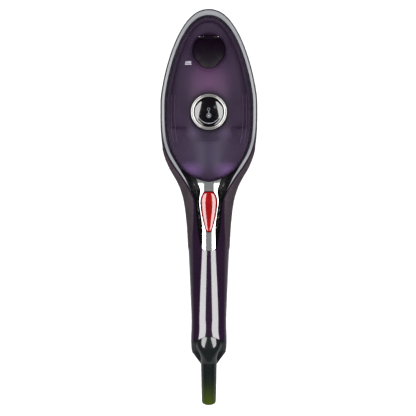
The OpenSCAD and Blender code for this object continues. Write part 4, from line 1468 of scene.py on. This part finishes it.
def make_floor():
    """Pale floor that adds a little light of its own and doesn't show in glossy surfaces."""
    m = Nodes("pale_floor")
    s = m.shader.inputs
    m.link(m.mix(m.drift(6), (0.86, 0.86, 0.86), (0.9, 0.9, 0.9)), s["Base Color"])
    m.link(m.spread(m.noise(30, 3.0), 0.6, 0.7), s["Roughness"])
    s["Specular IOR Level"].default_value = 0.2
    s["Emission Color"].default_value = (1, 1, 1, 1)
    s["Emission Strength"].default_value = 0.25
    far, low = 4000, -0.3
    square = [(-far, -far, low), (far, -far, low), (far, far, low), (-far, far, low)]
    floor = new_object("floor", square, [(0, 1, 2, 3)])
    floor.data.materials.append(m.material)
    floor.visible_glossy = False


def make_world():
    """A plain grey studio, light below the horizon and dark above it. Levels are (height, grey)."""
    levels = [(-1, 0.5), (-0.08, 0.45), (0.06, 0.1), (0.75, 0.05), (0.95, 0.08), (1, 0.08)]
    world = bpy.data.worlds.new("studio")
    SCENE.world = world
    world.use_nodes = True
    tree = world.node_tree
    coords = tree.nodes.new("ShaderNodeTexCoord")
    axes = tree.nodes.new("ShaderNodeSeparateXYZ")
    ramp = tree.nodes.new("ShaderNodeValToRGB")
    half = tree.nodes.new("ShaderNodeMapRange")
    half.inputs["From Min"].default_value = -1
    tree.links.new(coords.outputs["Generated"], axes.inputs["Vector"])
    tree.links.new(axes.outputs["Z"], half.inputs["Value"])
    tree.links.new(half.outputs["Result"], ramp.inputs["Fac"])
    tree.links.new(ramp.outputs["Color"], tree.nodes["Background"].inputs["Color"])
    while len(ramp.color_ramp.elements) < len(levels):
        ramp.color_ramp.elements.new(0.5)
    for element, (z, level) in zip(ramp.color_ramp.elements, levels):
        element.position = (z + 1) / 2
        element.color = (level, level, level * 1.03, 1)


def make_strips():
    """Two long strip lights over the object, a little closer together towards the nose."""
    wide, long, turn, height, y = 0.65, 1.35, math.radians(12), 1.5, -0.405
    inner_x = 0.19 - math.tan(turn) * y
    for side in (-1, 1):
        light = bpy.data.lights.new("strip", "AREA")
        light.shape = "RECTANGLE"
        light.size = wide
        light.size_y = long
        light.energy = 36
        obj = bpy.data.objects.new("strip_right" if side > 0 else "strip_left", light)
        obj.location = (side * (inner_x + wide / 2 * math.cos(turn)), y + wide / 2 * math.sin(turn), height)
        obj.rotation_euler = (0, 0, turn * side)
        SCENE.collection.objects.link(obj)


SCENE.view_settings.view_transform = "Standard"
SCENE.view_settings.look = "None"
make_camera()
make_floor()
make_world()
make_strips()
upper_housing()
lower_housing()
grip(1)
grip(-1)
trim_band()
tank_cover()
filler_neck()
filler_flap()
hinge_ears()
level_mark()
tank_ribs()
dial_ring()
dial_face()
dial_print()
neck_insert()
bezel()
button()
end_cap()
cord_guard()
soleplate()
heat_shield()
